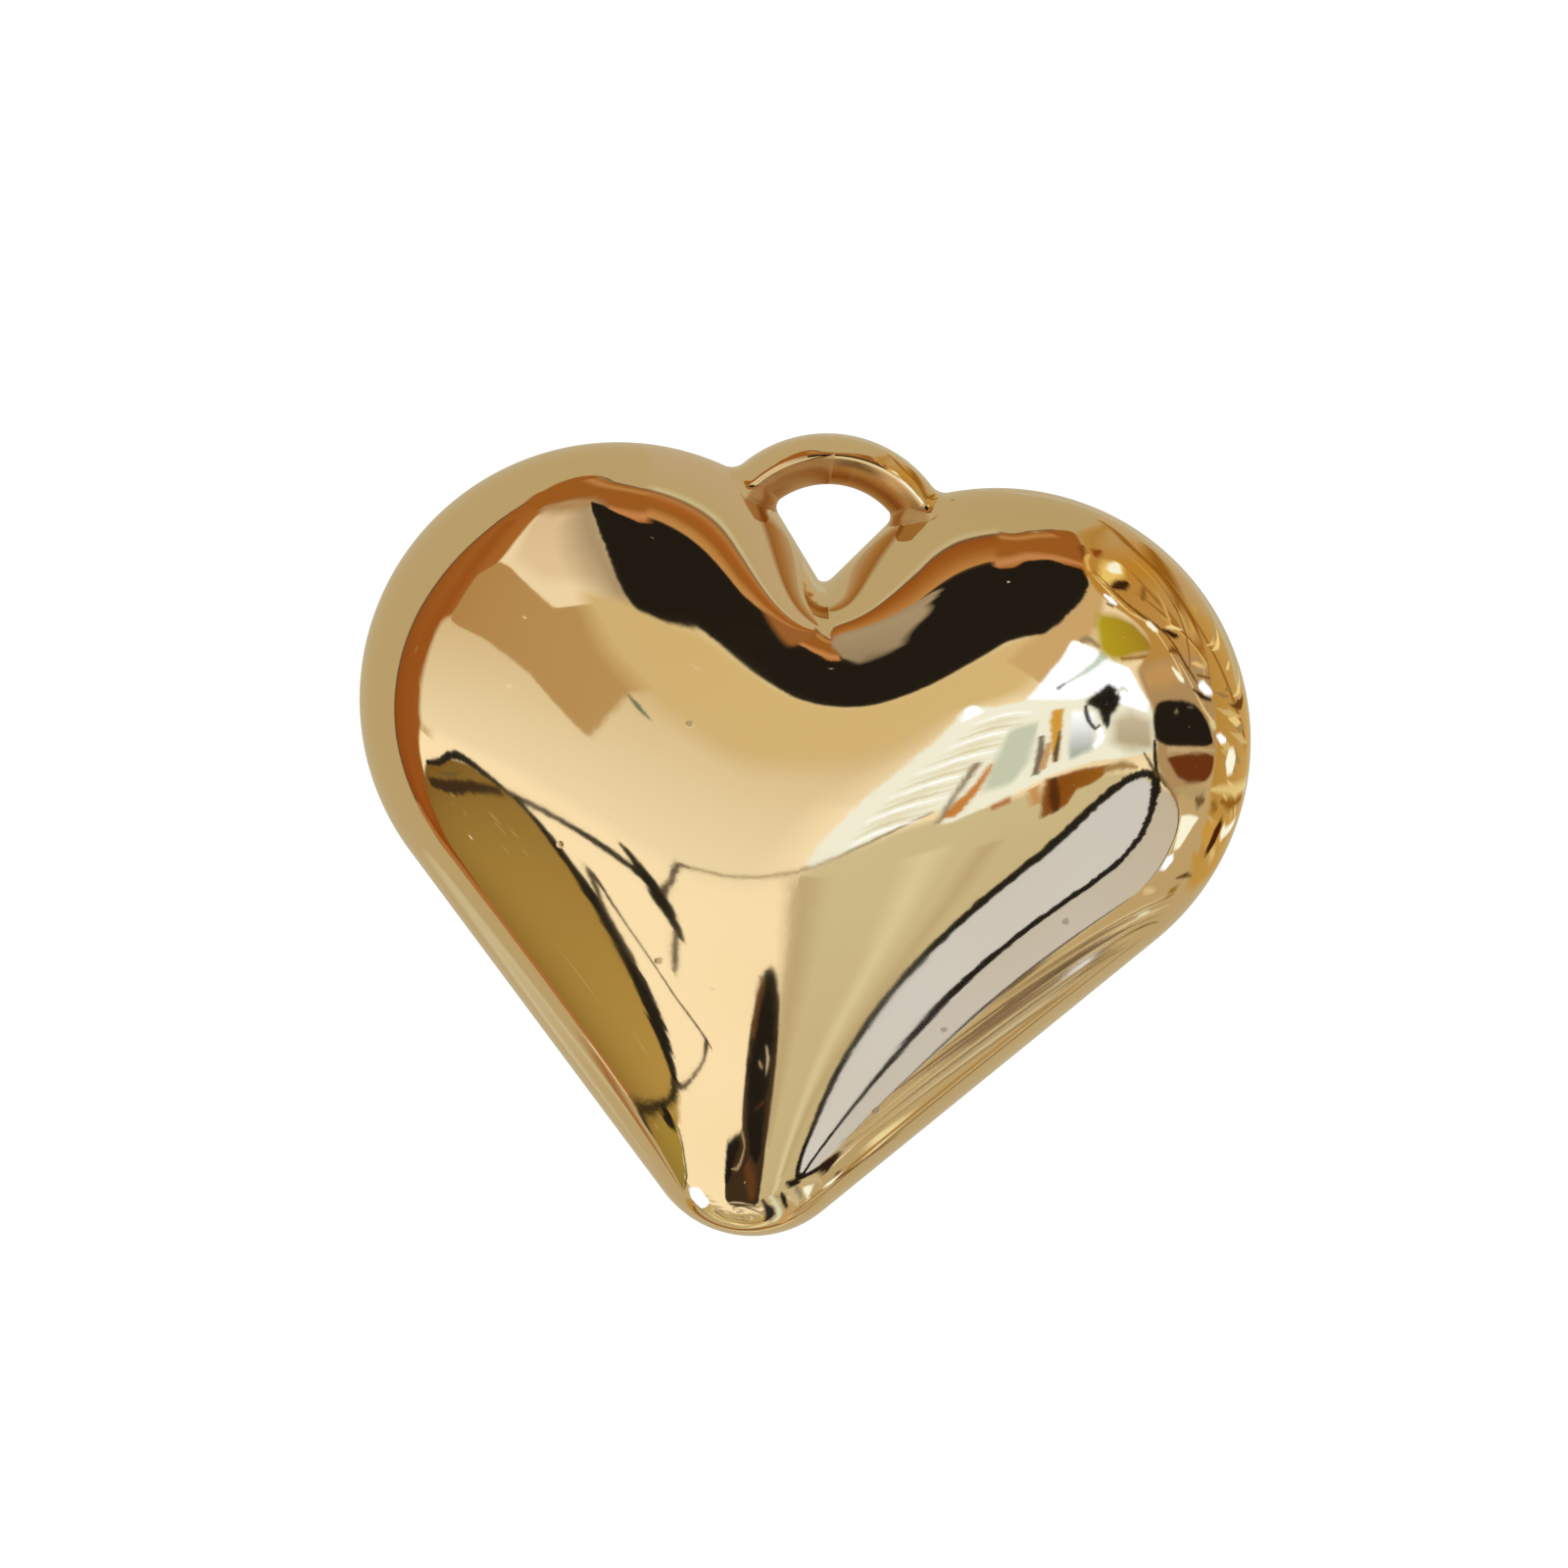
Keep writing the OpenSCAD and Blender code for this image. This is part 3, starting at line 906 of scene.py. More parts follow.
def low_in_front(b):
    """Beige board low in front, and the dark upright at its left."""
    b.board([(4.4, -12.6), (9, -10), (13, -6.4), (22, -5.6), (32, -4), (44, -4), (60, -14),
        (72, -30), (82, -50), (70, -70), (45, -76), (28, -73), (18, -61), (12, -50), (8, -40),
        (5.4, -28)], BEIGE, 1.0, 2, DEEP_BEIGE, (1, -1))
    b.strips(
        ((215, 197, 147), 2.6, (16, -11, 2.6), (18.6, -24, 2.4), (21, -38, 2.6), (29, -52, 3.4),
         (42, -64, 3)),
        ((190, 164, 116), 3, (5.8, -13, 3), (6.8, -24, 3.6), (9, -36, 3), (13, -48, 1.4)),
        ((190, 166, 116), 2.4, (22, -12, 2), (23.6, -26, 2), (26, -42, 2.4), (36, -56, 3)))
    # Dark upright low in the middle, with brown and pale stretches
    b.board([(2.8, -22.8), (4.8, -26), (6.2, -31), (7.6, -36), (9.2, -42), (11.5, -48), (14, -53),
        (19, -61), (26, -68), (34, -72), (36, -80), (-34, -80), (-36, -75), (-29, -69.5),
        (-24, -64), (-19, -57.5), (-14, -51.5), (-9, -47.6), (-4.4, -46.4), (-4, -42), (-2.6, -37),
        (-0.8, -31), (1, -26)], UMBER, 1.0, 1, rough=0.12)
    b.strips(
        (BLACK, 1.4, (2.8, -24, 1.6), (2.6, -32, 5.6), (2.2, -42, 8.4), (6, -50, 7), (8, -53, 2)),
        (BLACK, 1.6, (-6, -48.5, 2), (-12, -52, 6), (-17, -58, 6), (-24, -65, 2)),
        (BROWN, 5, (0, -54, 5), (6, -60, 9), (12, -66, 8), (20, -71, 3)),
        (BROWN, 0.8, (1.6, -25, 1.2), (-0.2, -32, 0.8)),
        ((168, 138, 100), 1.0, (-4.2, -46.2, 1.2), (-2.6, -50, 1.0), (-7, -56, 1.6),
         (-14, -57.5, 0.3)),
        ((196, 170, 130), 0.4, (3.4, -32.4, 0.3), (4.4, -34, 0.8), (4.6, -36, 0.2)),
        ((180, 150, 110), 0.3, (1.8, -34.6, 0.5), (3.2, -35.2, 0.3)),
        (BROWN, 0.3, (1.4, -41.6, 0.2), (5.4, -39.8, 0.5)))


def lower_right(b):
    """Grey boards, each edged in black, with a black wave between them."""
    b.board([(49, -7), (56, -9.6), (62, -13.5), (65.4, -20), (67.4, -28), (67, -33), (62.6, -38),
        (60.6, -41), (64, -45), (68, -50), (62, -53.6), (56, -54.8), (50, -47), (43.5, -38),
        (41.5, -33), (47, -26)], WARM_GREY, 0.8, 2, GREY, (-0.2, -1))
    b.board([(43, -5), (38, -6), (33.6, -10), (30.4, -16), (27.8, -22), (26.4, -28), (27, -34),
        (29.4, -39), (33, -43), (38, -48), (44, -52), (50, -54.4), (56, -54.6), (50, -47),
        (44, -38.6), (41.2, -33.6), (43, -29.4), (48, -23.4), (49.6, -17), (48.6, -11),
        (46.4, -7)], GREY, 0.5, 1, (212, 204, 190), (0, -1))
    b.strip(BLACK, 0.3, (72, -51.6, 2.0), (66, -53, 2.0), (58, -54.8, 1.9), (51, -54.6, 1.8),
        (44, -52.2, 1.8), (38, -48.4, 2.0), (33, -43.6, 2.0), (29, -39.2, 2.0), (26.6, -34, 2.1),
        (26, -28, 2.0), (27.6, -21.6, 2.0), (30.4, -16, 2.1), (33.4, -10.2, 2.1),
        (37.4, -6.2, 2.0), (42, -4.4, 1.7), (46.6, -4.8, 1.7))
    b.strip(BLACK, 0.3, (57, -55, 2.8), (53.4, -51.4, 2.1), (49.6, -46.4, 1.9), (45.6, -41, 2.0),
        (42.2, -36.6, 2.6), (41.2, -33.2, 3.0), (42.4, -30, 2.6), (46, -26, 2.4), (48.4, -22, 2.4),
        (49.4, -17, 2.4), (49, -12, 2.4), (48, -8.6, 2.8), (46.4, -5, 1.8), rough=0.08)
    b.strips(
        (BLACK, 0.3, (46, -4.4, 1.6), (51, -6.4, 1.4), (56, -9.2, 0.9), (61, -13, 0.7),
         (64.6, -18, 0.6), (66.8, -25, 0.5), (67.4, -31, 0.3)),
        (UMBER, 1.2, (66, -34, 0.4), (62.4, -37.6, 1.0), (60.4, -40.6, 1.6), (63.4, -44.6, 0.7),
         (68, -49.4, 0.3)),
        ((120, 96, 64), 1.0, (60.6, -40.4, 1.8), (66, -41.6, 1.4), (72, -43, 1.2),
         (80, -43.6, 0.2)))


def daylight(b):
    """White and pale boards on the right, with darker strokes across them."""
    b.board([(9.4, 13), (10.4, 12.8), (12, 11.2), (17, 11.4), (19.4, 17), (21, 19.6), (23.6, 24.6),
        (27, 23.4), (31, 22), (34, 19.6), (38.4, 18.4), (40.6, 13.6), (43.6, 10.6), (44.4, 7),
        (44.6, 2), (44, 0), (36, -1), (31, -1.2), (25, -2.6), (19.6, -5.8), (15.4, -7.6),
        (14.4, -4.6), (10, -8.4), (5.6, -12), (6.2, -9), (7.8, -4), (9, 2), (9.6, 8)],
        (240, 234, 206), 0.4, 1)
    b.board([(16.8, 11.6), (19.4, 16.8), (21, 19.4), (23.6, 24.4), (27, 23.2), (31, 21.8),
        (34, 19.4), (38.2, 18.2), (40.4, 13.6), (43.2, 10.6), (42, 8.4), (36, 9.4), (30, 12),
        (25, 10.6), (20, 11)], WHITE, 0.8, 1)
    b.board([(9.6, 12.8), (10.4, 12.7), (12, 11), (10.4, 10)], WHITE, 0.4, 3)
    # A row of slanting strokes, each slightly bent, in three tones and widths
    strokes = 16
    for k in range(strokes):
        u = k / (strokes - 1)
        start, end = (8.6 + 3.2 * u, -9 + 18 * u), (13.4 + 5 * u, -6 + 15 * u)
        bend = ((start[0] + end[0]) / 2 - 0.3, (start[1] + end[1]) / 2 + 0.5)
        b.strip((WHITE, (214, 198, 156), (228, 216, 180))[k % 3], 0.4, (*start, 0.1),
                (*bend, 0.3 + 0.3 * (k % 3)), (*end, 0.1))
    b.strips(
        ((196, 208, 190), 0.8, (31.6, 21.4, 2.2), (29, 18.8, 1.4), (26, 16.4, 0.9),
         (22.4, 14, 0.4)),
        ((130, 120, 130), 0.4, (22.4, 14, 0.5), (21.2, 13, 0.8)))
    b.board([(16.4, 6.4), (19.8, 7), (20.6, 0), (20, -3), (17.4, -3.6), (16.6, 0)], MIST, 1.2, 2)
    b.board([(24.6, 8.4), (29, 8), (29.8, 1), (26.4, -0.4), (25.4, 2)], (140, 146, 122), 1.2, 3,
        WHITE, (0, 1))
    b.strips(
        ((206, 150, 50), 0.4, (22.2, 9, 2.0), (22.8, 5, 1.6), (24.4, -0.6, 0.8)),
        ((112, 96, 76), 0.4, (21, 4.4, 0.7), (21.8, 1, 1.0), (22.4, -2.4, 1.0)),
        (UMBER, 0.3, (23.4, 5, 0.3), (24, 1, 0.7), (24.4, -0.6, 0.5)),
        ((200, 152, 96), 0.3, (22.4, 3, 0.8), (23, -1.6, 0.9)),
        ((196, 122, 44), 0.4, (16.4, 1, 0.4), (16.4, -3, 1.0), (15.6, -6.4, 1.6)),
        ((140, 118, 84), 0.5, (15, 1.6, 0.9), (15, -3, 0.5), (15.2, -7, 0.4)))
    b.board([(24, -3.4), (29, -2.4), (34, -2), (33.4, -4), (31.6, -5.4), (29.4, -6), (29, -8.6),
        (26.4, -10), (25, -7)], (126, 66, 16), 0.6, 1, (150, 92, 24))
    b.strips(
        ((84, 42, 14), 0.4, (25, -3.2, 0.8), (26.4, -6.4, 1.4), (28, -9.4, 1.0)),
        ((196, 142, 84), 0.8, (23, -4.4, 1.4), (24.6, -7.4, 1.0)),
        ((176, 110, 60), 0.7, (19.4, -6.4, 1.0), (21, -5.6, 1.2)),
        ((160, 124, 70), 1.0, (33, -3, 1.4), (37, -2.4, 1.8), (41, -3, 0.4)))
    b.board([(33, 6.6), (37, 8.6), (43.6, 7), (44.4, 1), (38, 0.6), (33.6, 2)], (206, 190, 160), 3,
        4, (170, 152, 110), (0, -1))
    b.board([(27.4, 11), (29.4, 12.4), (31.6, 14.2), (33.8, 13.4), (34.6, 11), (33.8, 8.8),
        (32.4, 7.2), (32.2, 4.6), (31, 5.6), (29.4, 8.6), (27, 9.8)], BLACK, 1.0, 2, rough=0.12)
    b.strips(
        (BLACK, 0.3, (27, 9.6, 0.7), (27.6, 7.2, 0.7), (29.4, 5, 0.6), (30.4, 5.6, 0.4)),
        (WHITE, 0.4, (30.4, 5, 0.8), (30.9, 3, 1.2), (30, 1.4, 0.8)),
        ((206, 206, 186), 0.8, (33.4, 12, 0.6), (35.4, 13.4, 0.8), (37, 12.6, 0.3)))


def right_of_daylight(b):
    """Green board on the right with a deep gold edge below it."""
    b.board([(30, 22), (31, 30), (33, 33.6), (40, 34), (46, 32), (49.6, 27.6), (50.6, 24.6),
        (44, 22.6), (37, 20.4), (33, 20)], LEMON, 3, 4, (154, 116, 36))
    b.strips(
        ((150, 128, 92), 1.2, (25.6, 24.4, 1.0), (28, 25, 2.0), (30.6, 23, 0.8)),
        (DEEP_GOLD, 1.4, (36, 20.6, 0.8), (42, 21.6, 0.8), (48, 23, 1.6), (52, 25, 2.0)))


def far_right(b):
    """Gold boards with lights and dark spots that crowd along the right rim."""
    b.board([(38, 52), (46, 58), (60, 64.5), (80, 69), (104, 69.5), (124, 64), (140, 55),
        (152, 42), (164, 22), (150, 18), (124, 22), (100, 22), (84, 22), (66, 19), (54, 16),
        (45, 13.4), (41, 15), (39.4, 18.6), (44, 21.6), (51, 25), (49, 32), (43, 36), (38, 38),
        (37, 46)], OLD_GOLD, 2, 3, PEACH, (1, -0.4))
    b.board([(40, 19), (42, 13), (45, 8), (46, -3), (52, -7), (62, -13), (80, -16), (92, -8),
        (92, 16), (80, 24), (62, 24), (50, 22)], (172, 136, 88), 2, 3)
    b.strips(
        ((190, 144, 84), 3, (43, 16, 4.4), (52, 18.6, 6), (62, 20, 4)),
        ((186, 128, 44), 8, (52, 47, 6), (70, 53, 10), (90, 51, 13), (116, 46, 12), (140, 36, 6)),
        ((176, 128, 56), 4, (60, 60, 3), (76, 64.4, 4), (98, 66, 5), (124, 60, 4), (144, 48, 2)),
        (DEEP_GOLD, 5, (86, 37, 2), (104, 39, 7), (124, 40, 9), (146, 32, 3)),
        ((206, 158, 78), 2, (84, 30, 1), (100, 32, 3), (118, 30, 1)),
        ((160, 104, 34), 4, (80, 26, 2), (96, 25, 6), (112, 22, 2)),
        ((120, 66, 20), 2, (46, 58, 1), (58, 63.6, 2.6), (68, 66, 1)),
        ((136, 66, 16), 2, (60, 59.6, 1), (68, 61.6, 3.2), (78, 62, 1)),
        ((220, 172, 92), 1.2, (42, 52, 1.4), (49, 58, 1.6), (58, 61, 0.8)),
        ((236, 196, 104), 3, (44, 47, 3), (54, 51.4, 6.4), (64, 54, 6.6), (76, 55.6, 1.6)),
        (PALE_YELLOW, 1.4, (56, 52.6, 2), (64, 53.8, 4.4), (74, 56, 1.4)),
        ((56, 32, 12), 1.4, (47, 45, 1.2), (54, 46.4, 4.2), (62, 48, 1.6)),
        ((136, 92, 30), 2, (60, 41, 1), (66, 43.6, 2.4), (72, 46, 1)))
    b.strips(
        ((236, 202, 132), 0.8, (42, 50, 0.5), (43.6, 42, 1.4), (47, 36, 0.6), (54, 33, 1.2),
         (58, 26, 0.5), (61, 19, 0.9)),
        ((112, 70, 24), 0.8, (45, 52, 0.6), (47, 42, 1.2), (52, 36, 1.8), (62, 30, 1.2),
         (66, 22, 2), (72, 16, 0.5)),
        (DEEP_GOLD, 0.8, (60, 44, 0.6), (70, 36, 1.6), (80, 28, 2.4), (92, 18, 1.8),
         (100, 8, 0.6)),
        ((216, 168, 88), 0.8, (66, 36, 0.4), (76, 30, 1.2), (86, 22, 1.6), (94, 12, 0.4)),
        ((230, 200, 140), 0.8, (62, 22, 0.4), (70, 12, 0.9), (80, 7, 1), (90, 3.6, 0.4)),
        ((120, 80, 32), 0.8, (84, 8, 0.6), (94, 2, 1.4), (98, -8, 1), (104, -12, 0.6)),
        ((214, 178, 116), 0.8, (82, 0, 0.6), (86, -12, 1.8), (84, -24, 1.4), (80, -34, 0.6)),
        ((150, 116, 66), 0.8, (78, -14, 0.5), (80, -24, 1.4), (76, -34, 0.5)),
        ((138, 80, 14), 3, (124, 51, 1.5), (116, 47, 4.6), (112, 41, 6), (104, 37, 5.6),
         (96, 30, 4.6), (94, 22, 2)),
        ((156, 102, 30), 2.6, (76, 52, 1), (73, 44, 3.6), (75, 37, 3.6), (77, 31, 1)))
    b.streaks(30, [62, 8, 8, 0.5], [106, 42, 26, 1.6], 0.9, (130, 82, 22), (226, 180, 98))
    b.strips(
        (WHITE, 1.2, (40, 41.6, 1), (41.6, 39.6, 3.2), (43.2, 38, 1)),
        ((120, 100, 64), 0.8, (38.6, 38, 1), (41, 37, 1.4)),
        (PALE_YELLOW, 1, (52.6, 32.6, 1), (55, 32.2, 3.6), (57.6, 31, 1)),
        ((130, 90, 30), 0.8, (52, 34.6, 0.6), (57, 34.6, 1)),
        ((52, 28, 12), 0.9, (61, 31.6, 0.8), (66, 30.4, 2.4), (70.6, 30, 0.8)),
        ((244, 210, 142), 0.6, (64, 32.4, 0.4), (70, 32.6, 1.3), (78, 31.6, 0.4)),
        ((116, 76, 24), 1, (58, 25, 0.6), (62, 25.6, 2.2), (65, 25, 0.6)),
        (PALE_YELLOW, 0.8, (56.6, 20.6, 0.8), (59, 18.6, 2.4), (61.6, 17.4, 1)),
        ((58, 34, 18), 0.8, (66, 15.6, 0.6), (72, 14, 1.8), (80, 13, 0.8)),
        (WHITE, 1.2, (71, 16.4, 1), (76, 16, 3.6), (83, 14.6, 1)),
        ((232, 186, 116), 0.8, (71, 22.4, 0.4), (77, 22, 1.6), (83, 21, 0.4)),
        ((120, 78, 34), 0.8, (72, 19.4, 0.4), (78, 18.8, 1), (86, 18, 0.4)),
        ((150, 112, 66), 6, (84, 12, 2), (96, 12, 7), (110, 13, 3)),
        ((150, 100, 40), 2, (100, 4, 1), (116, 5, 3), (132, 2, 0.6)),
        ((238, 206, 140), 0.8, (116, 3.4, 0.4), (126, 2.6, 1.2), (140, 0, 0.4)))


def dark_and_rust(b):
    """Dark ellipse with the rust board under it."""
    b.board([(44.2, 8), (46, 11), (50, 12), (58, 12.6), (65, 12), (70, 10), (74, 7), (78, 2.6),
        (70, 1.8), (58, 1.8), (50, 1.8), (45, 3)], BLACK, 1.0, 3)
    b.strips(
        ((110, 100, 70), 0.6, (53, 9.2, 0.5), (55, 10, 1.2)),
        ((90, 80, 60), 0.6, (60, 11, 0.4), (64, 11.2, 0.8)),
        ((190, 160, 112), 0.6, (50, 1, 1.4), (66, 1.2, 0.9), (80, 1, 0.6)))
    b.board([(50, -0.8), (60, 0.2), (72, 0.4), (79, -0.4), (79, -4), (75, -6.2), (62, -6.4),
        (56, -5)], RUST, 1.4, 3)
    b.strips(
        (BLACK, 0.4, (45, 3, 0.9), (46, -1, 1.3), (48, -5, 1.0), (50, -8.6, 1.8)),
        ((90, 72, 40), 0.5, (42, 0.4, 0.5), (45, -2.4, 0.9), (48, -4.8, 0.6)))


def below_right(b):
    """Peach and gold boards below the rust one, with lights and streaks."""
    b.board([(80, 12), (96, 9), (120, 6), (150, -4), (164, -8), (150, -18), (124, -34), (104, -47),
        (84, -50), (70, -50), (62, -41), (68, -33), (68, -24), (64, -14), (56, -8), (78, -6),
        (81, 0)], PEACH, 2, 3, KHAKI, (1, -0.3))
    b.board([(81, 13), (90, 24), (104, 34), (124, 26), (142, 8), (150, -4), (142, -16), (126, -26),
        (108, -30), (94, -24), (84, -14), (79, -6), (81, 3)], (180, 132, 56), 3, 3, (198, 152, 80),
        (1, -0.2))
    b.strips(
        ((188, 166, 118), 4, (174, 32, 7), (162, 23, 9), (150, 15, 9), (138, 12, 7), (128, 9, 4.4),
         (121, 6, 1)),
        ((148, 92, 24), 2.4, (150, 44, 2), (124, 50, 4.4), (106, 43, 4), (101, 34, 3.4),
         (102, 22, 3), (112, 9, 2.4), (132, -2, 1.4)))
    b.streaks(30, [82, -24, 12, 0.8], [112, 26, 44, 2.6], -0.16, (104, 62, 16), (240, 204, 126))
    b.strips(
        ((176, 150, 100), 1.6, (56, -7.6, 0.6), (66, -8.6, 3), (76, -9, 2.4)),
        ((112, 86, 46), 1.8, (69, -10, 0.8), (73, -10.8, 3.2), (77, -10.6, 0.8)))
    b.board([(64, -14), (68, -13.8), (76.6, -14.6), (74, -17), (72, -22), (69, -22.4),
        (66.6, -19)], PALE_YELLOW, 0.9, 2)
    b.board([(67.6, -24), (70, -23.2), (73, -25), (72, -27.4), (68.6, -27)], WHITE, 1.2, 3)
    b.strips(
        ((214, 188, 134), 1, (69, -31.6, 0.6), (73, -32.6, 1.8), (78, -33, 0.6)),
        ((214, 196, 142), 1.2, (75, 8, 0.6), (78, 7, 2.4), (81, 6.2, 0.6)),
        (WHITE, 1, (81, 4.4, 0.6), (86, 3.6, 2.4), (92, 3, 0.6)))
    b.board([(92, -2), (96, 0.8), (103, 0.8), (108, -1.6), (104, -4.8), (96, -5)], PALE_YELLOW,
        1.4, 3)
    b.strips(
        ((146, 104, 40), 1.6, (84, -11, 0.8), (88, -12, 3), (93, -12.6, 0.8)),
        ((222, 192, 120), 1.4, (80, -8, 0.6), (92, -8, 1.8), (118, -8, 2.4), (150, -7, 1)),
        (DEEP_GOLD, 1.4, (94, -10.6, 0.8), (112, -11, 2.4), (140, -8.6, 1)),
        ((200, 148, 62), 3, (84, -17, 2), (96, -18, 6), (112, -17, 6), (140, -12, 2)))
    b.board([(99, -17), (103, -14), (109, -15), (110, -19), (106, -23), (101, -22)], (70, 30, 10),
        1.8, 4)
    b.strips(
        (PALE_YELLOW, 1, (112, -15.6, 2), (120, -16, 2.4), (140, -11.6, 1)),
        ((96, 66, 30), 0.9, (86, -29.4, 0.4), (94, -28.2, 1.6), (104, -27.4, 0.4)),
        ((190, 144, 66), 3, (86, -23, 1), (100, -25, 4), (124, -23, 5), (150, -14, 2)),
        ((150, 108, 42), 2, (90, -32, 1), (94, -32.4, 3.4), (98, -32, 1)),
        (PALE_YELLOW, 0.8, (83, -37.6, 0.4), (88, -38, 1.6), (95, -38, 0.4)),
        ((104, 78, 46), 0.5, (72, -43.4, 0.4), (84, -44, 0.9), (100, -42.4, 0.9), (108, -43, 0.3)),
        (WHITE, 0.5, (84, -43, 0.3), (91, -43.2, 1.0), (97, -43, 0.3)),
        ((240, 220, 160), 0.6, (96, -48.6, 0.6), (106, -47, 1.2), (118, -45, 0.4)),
        ((110, 76, 30), 0.4, (98, -50.4, 0.3), (112, -47.8, 0.7), (126, -42, 0.3)))
    b.streaks(60, [63, -50, 10, 0.25], [90, -40, 34, 0.8], 0.27, (112, 84, 48), (232, 208, 156))
    b.streaks(24, [63, -47, 8, 0.3], [76, -42, 22, 0.9], 0.2, (84, 64, 40), (140, 110, 74))


def round_the_tip(b):
    """Streaks under the boards, round to the tip."""
    b.streaks(70, [40, -84, 10, 0.6], [150, -55, 60, 2.2], 0.1, (120, 84, 36), (236, 212, 158))
    b.strip((190, 152, 84), 4, (96, -76, 2), (140, -74, 9), (190, -73, 12), (240, -74, 9),
        (270, -78, 2))
    b.streaks(50, [110, -86, 20, 0.8], [225, -64, 70, 2.2], 0.0, (96, 70, 30), (244, 216, 150))
    b.streaks(24, [-50, -89, 20, 0.6], [30, -76, 60, 2.2], 0.05, (84, 66, 38), (236, 212, 158))
    b.streaks(30, [-140, -86, 10, 0.5], [-90, -66, 40, 1.8], -0.15, (90, 66, 34), (240, 216, 160))
    b.board([(-134, -66), (-120, -71), (-104, -73), (-88, -73.6), (-80, -70), (-78, -66),
        (-90, -64), (-104, -61.8), (-120, -61.6)], WHITE, 2, 3)
    b.strips(
        ((44, 24, 20), 1, (66, -52.6, 1.2), (74, -51.6, 3.6), (84, -52.4, 0.8)),
        ((190, 172, 132), 0.3, (70, -50.4, 0.4), (80, -50.2, 0.6)),
        ((178, 128, 62), 3, (124, -46, 3), (132, -54, 6), (148, -58, 7), (166, -57, 8),
         (184, -54, 9), (204, -54, 8), (222, -58, 6), (236, -62, 2)),
        ((118, 80, 38), 1, (122, -48, 0.6), (134, -56, 2.2), (152, -60, 2.6), (170, -57, 3.4),
         (188, -53, 3.6), (206, -55, 2.6), (222, -60, 0.8)),
        ((232, 206, 146), 1, (130, -50, 0.6), (150, -53, 1.8), (170, -51, 2.2), (190, -47, 0.8)),
        ((168, 120, 54), 1.4, (118, -64, 2), (112, -59, 4), (106, -53, 4), (108, -49, 3.6),
         (111, -46, 3), (115, -41, 1.4)),
        ((118, 80, 34), 0.8, (122, -60, 0.6), (117, -54, 1.6), (118, -48, 1.6), (121, -42, 1.4),
         (126, -36, 0.4)),
        (PALE_YELLOW, 0.7, (103, -51, 0.4), (107, -49.6, 1.8), (111, -48.8, 0.4)),
        (BLACK, 1.6, (44, -58, 0.6), (54, -57.6, 4.4), (62, -56.8, 1.2)),
        (PALE_YELLOW, 1, (74, -57, 0.8), (84, -56, 2.6), (98, -55.6, 0.6)),
        ((150, 130, 100), 1, (60, -57.8, 0.8), (70, -58.8, 2), (90, -58.6, 1)),
        (PALE_KHAKI, 2, (56, -60.6, 1.2), (74, -61, 3), (96, -60, 2)),
        ((40, 38, 30), 1, (50, -62.6, 1), (62, -64, 2.6), (76, -65, 2), (100, -64, 0.6)),
        ((196, 150, 88), 3, (86, -62.6, 2), (112, -64.6, 6), (140, -58, 6)),
        ((214, 208, 166), 1.6, (40, -66, 2), (62, -68.4, 2.6), (90, -68.6, 3), (130, -66, 3)),
        ((44, 38, 32), 2, (34, -69.6, 1.6), (50, -72, 2.4), (70, -73, 5), (100, -73, 5),
         (130, -72, 2)))


def over_cleft(b):
    """The same orange over the top as the cleft's walls mirror it."""
    left, right = (-3.6, -0.6), (-2.6, -0.6)
    b.curtain(-1, left, (0.3, 4.6, 60, 120), [(22, 22, BLACK, 0), (25, 25, BLACK, 1),
        (44.6, 54.4, BLACK, 1), (45.8, 55.6, (188, 132, 72), 1), (50, 58.4, (184, 126, 62), 1),
        (56.6, 63, ORANGE, 1), (65, 69, (162, 90, 32), 1), (70, 73.4, (176, 116, 58), 1),
        (74, 76.4, (132, 96, 58), 1), (77, 78.6, (202, 182, 134), 1), (83, 84, KHAKI, 1),
        (105, 105, (188, 158, 112), 1), (140, 140, (188, 158, 112), 1), (165, 165, KHAKI, 1)])
    # Its first stops paint the loop's slope where the left wall would mirror it: a painted
    # reflection
    b.curtain(-1, left, (0.3, 4.6, 5.6), [(144, 122, MIRRORED_SLOPE_BROWN, 0), (157, 131, MIRRORED_SLOPE_BROWN, 1),
        (166, 142, (160, 108, 50), 1), (177, 156, (176, 140, 92), 1)])
    b.curtain(-1, left, (0.1, 2.3, 3.1), [(15, 15, (150, 94, 42), 0), (20, 20, (150, 94, 42),
        1), (47, 47, (152, 92, 44), 1), (51, 51, (160, 104, 52), 0)])
    b.curtain(1, right, (0.3, 4.6, 60, 120), [(24, 24, BLACK, 0), (27, 27, BLACK, 1),
        (45, 54.4, BLACK, 1), (46, 55.4, PALE_ORANGE, 1), (52.6, 60, (170, 106, 46), 1),
        (60, 65.4, ORANGE, 1), (66, 72, (148, 78, 22), 1), (69.6, 76, (116, 80, 44), 1),
        (71.6, 78, (196, 174, 126), 1), (78, 84, KHAKI, 1), (165, 165, KHAKI, 1)])
    # Its first stops paint the loop's slope where the right wall would mirror it: a painted
    # reflection
    b.curtain(1, right, (0.3, 4.6, 5, 6.4), [(150, 122, MIRRORED_SLOPE_BROWN, 0), (161, 131, MIRRORED_SLOPE_BROWN, 1),
        (169, 142, (160, 108, 50), 1), (178, 156, (176, 140, 92), 1)])
    b.curtain(1, right, (0.5, 4.6, 8.4, 10.8), [(22, 26, DULL, 0), (29, 31, DULL, 1),
        (42, 43, (166, 142, 104), 1), (46.6, 48.4, DULL, 1), (47.2, 49, DULL, 0)], 0.12)


# The boards from the farthest inwards. Their order is also that of the random
# draws, so an area that moves in this list changes the edges of the rest.
AREAS = (backdrop, over_the_top, upper_left, middle, lower_left, low_in_front, lower_right,
         daylight, right_of_daylight, far_right, dark_and_rust, below_right, round_the_tip,
         over_cleft)


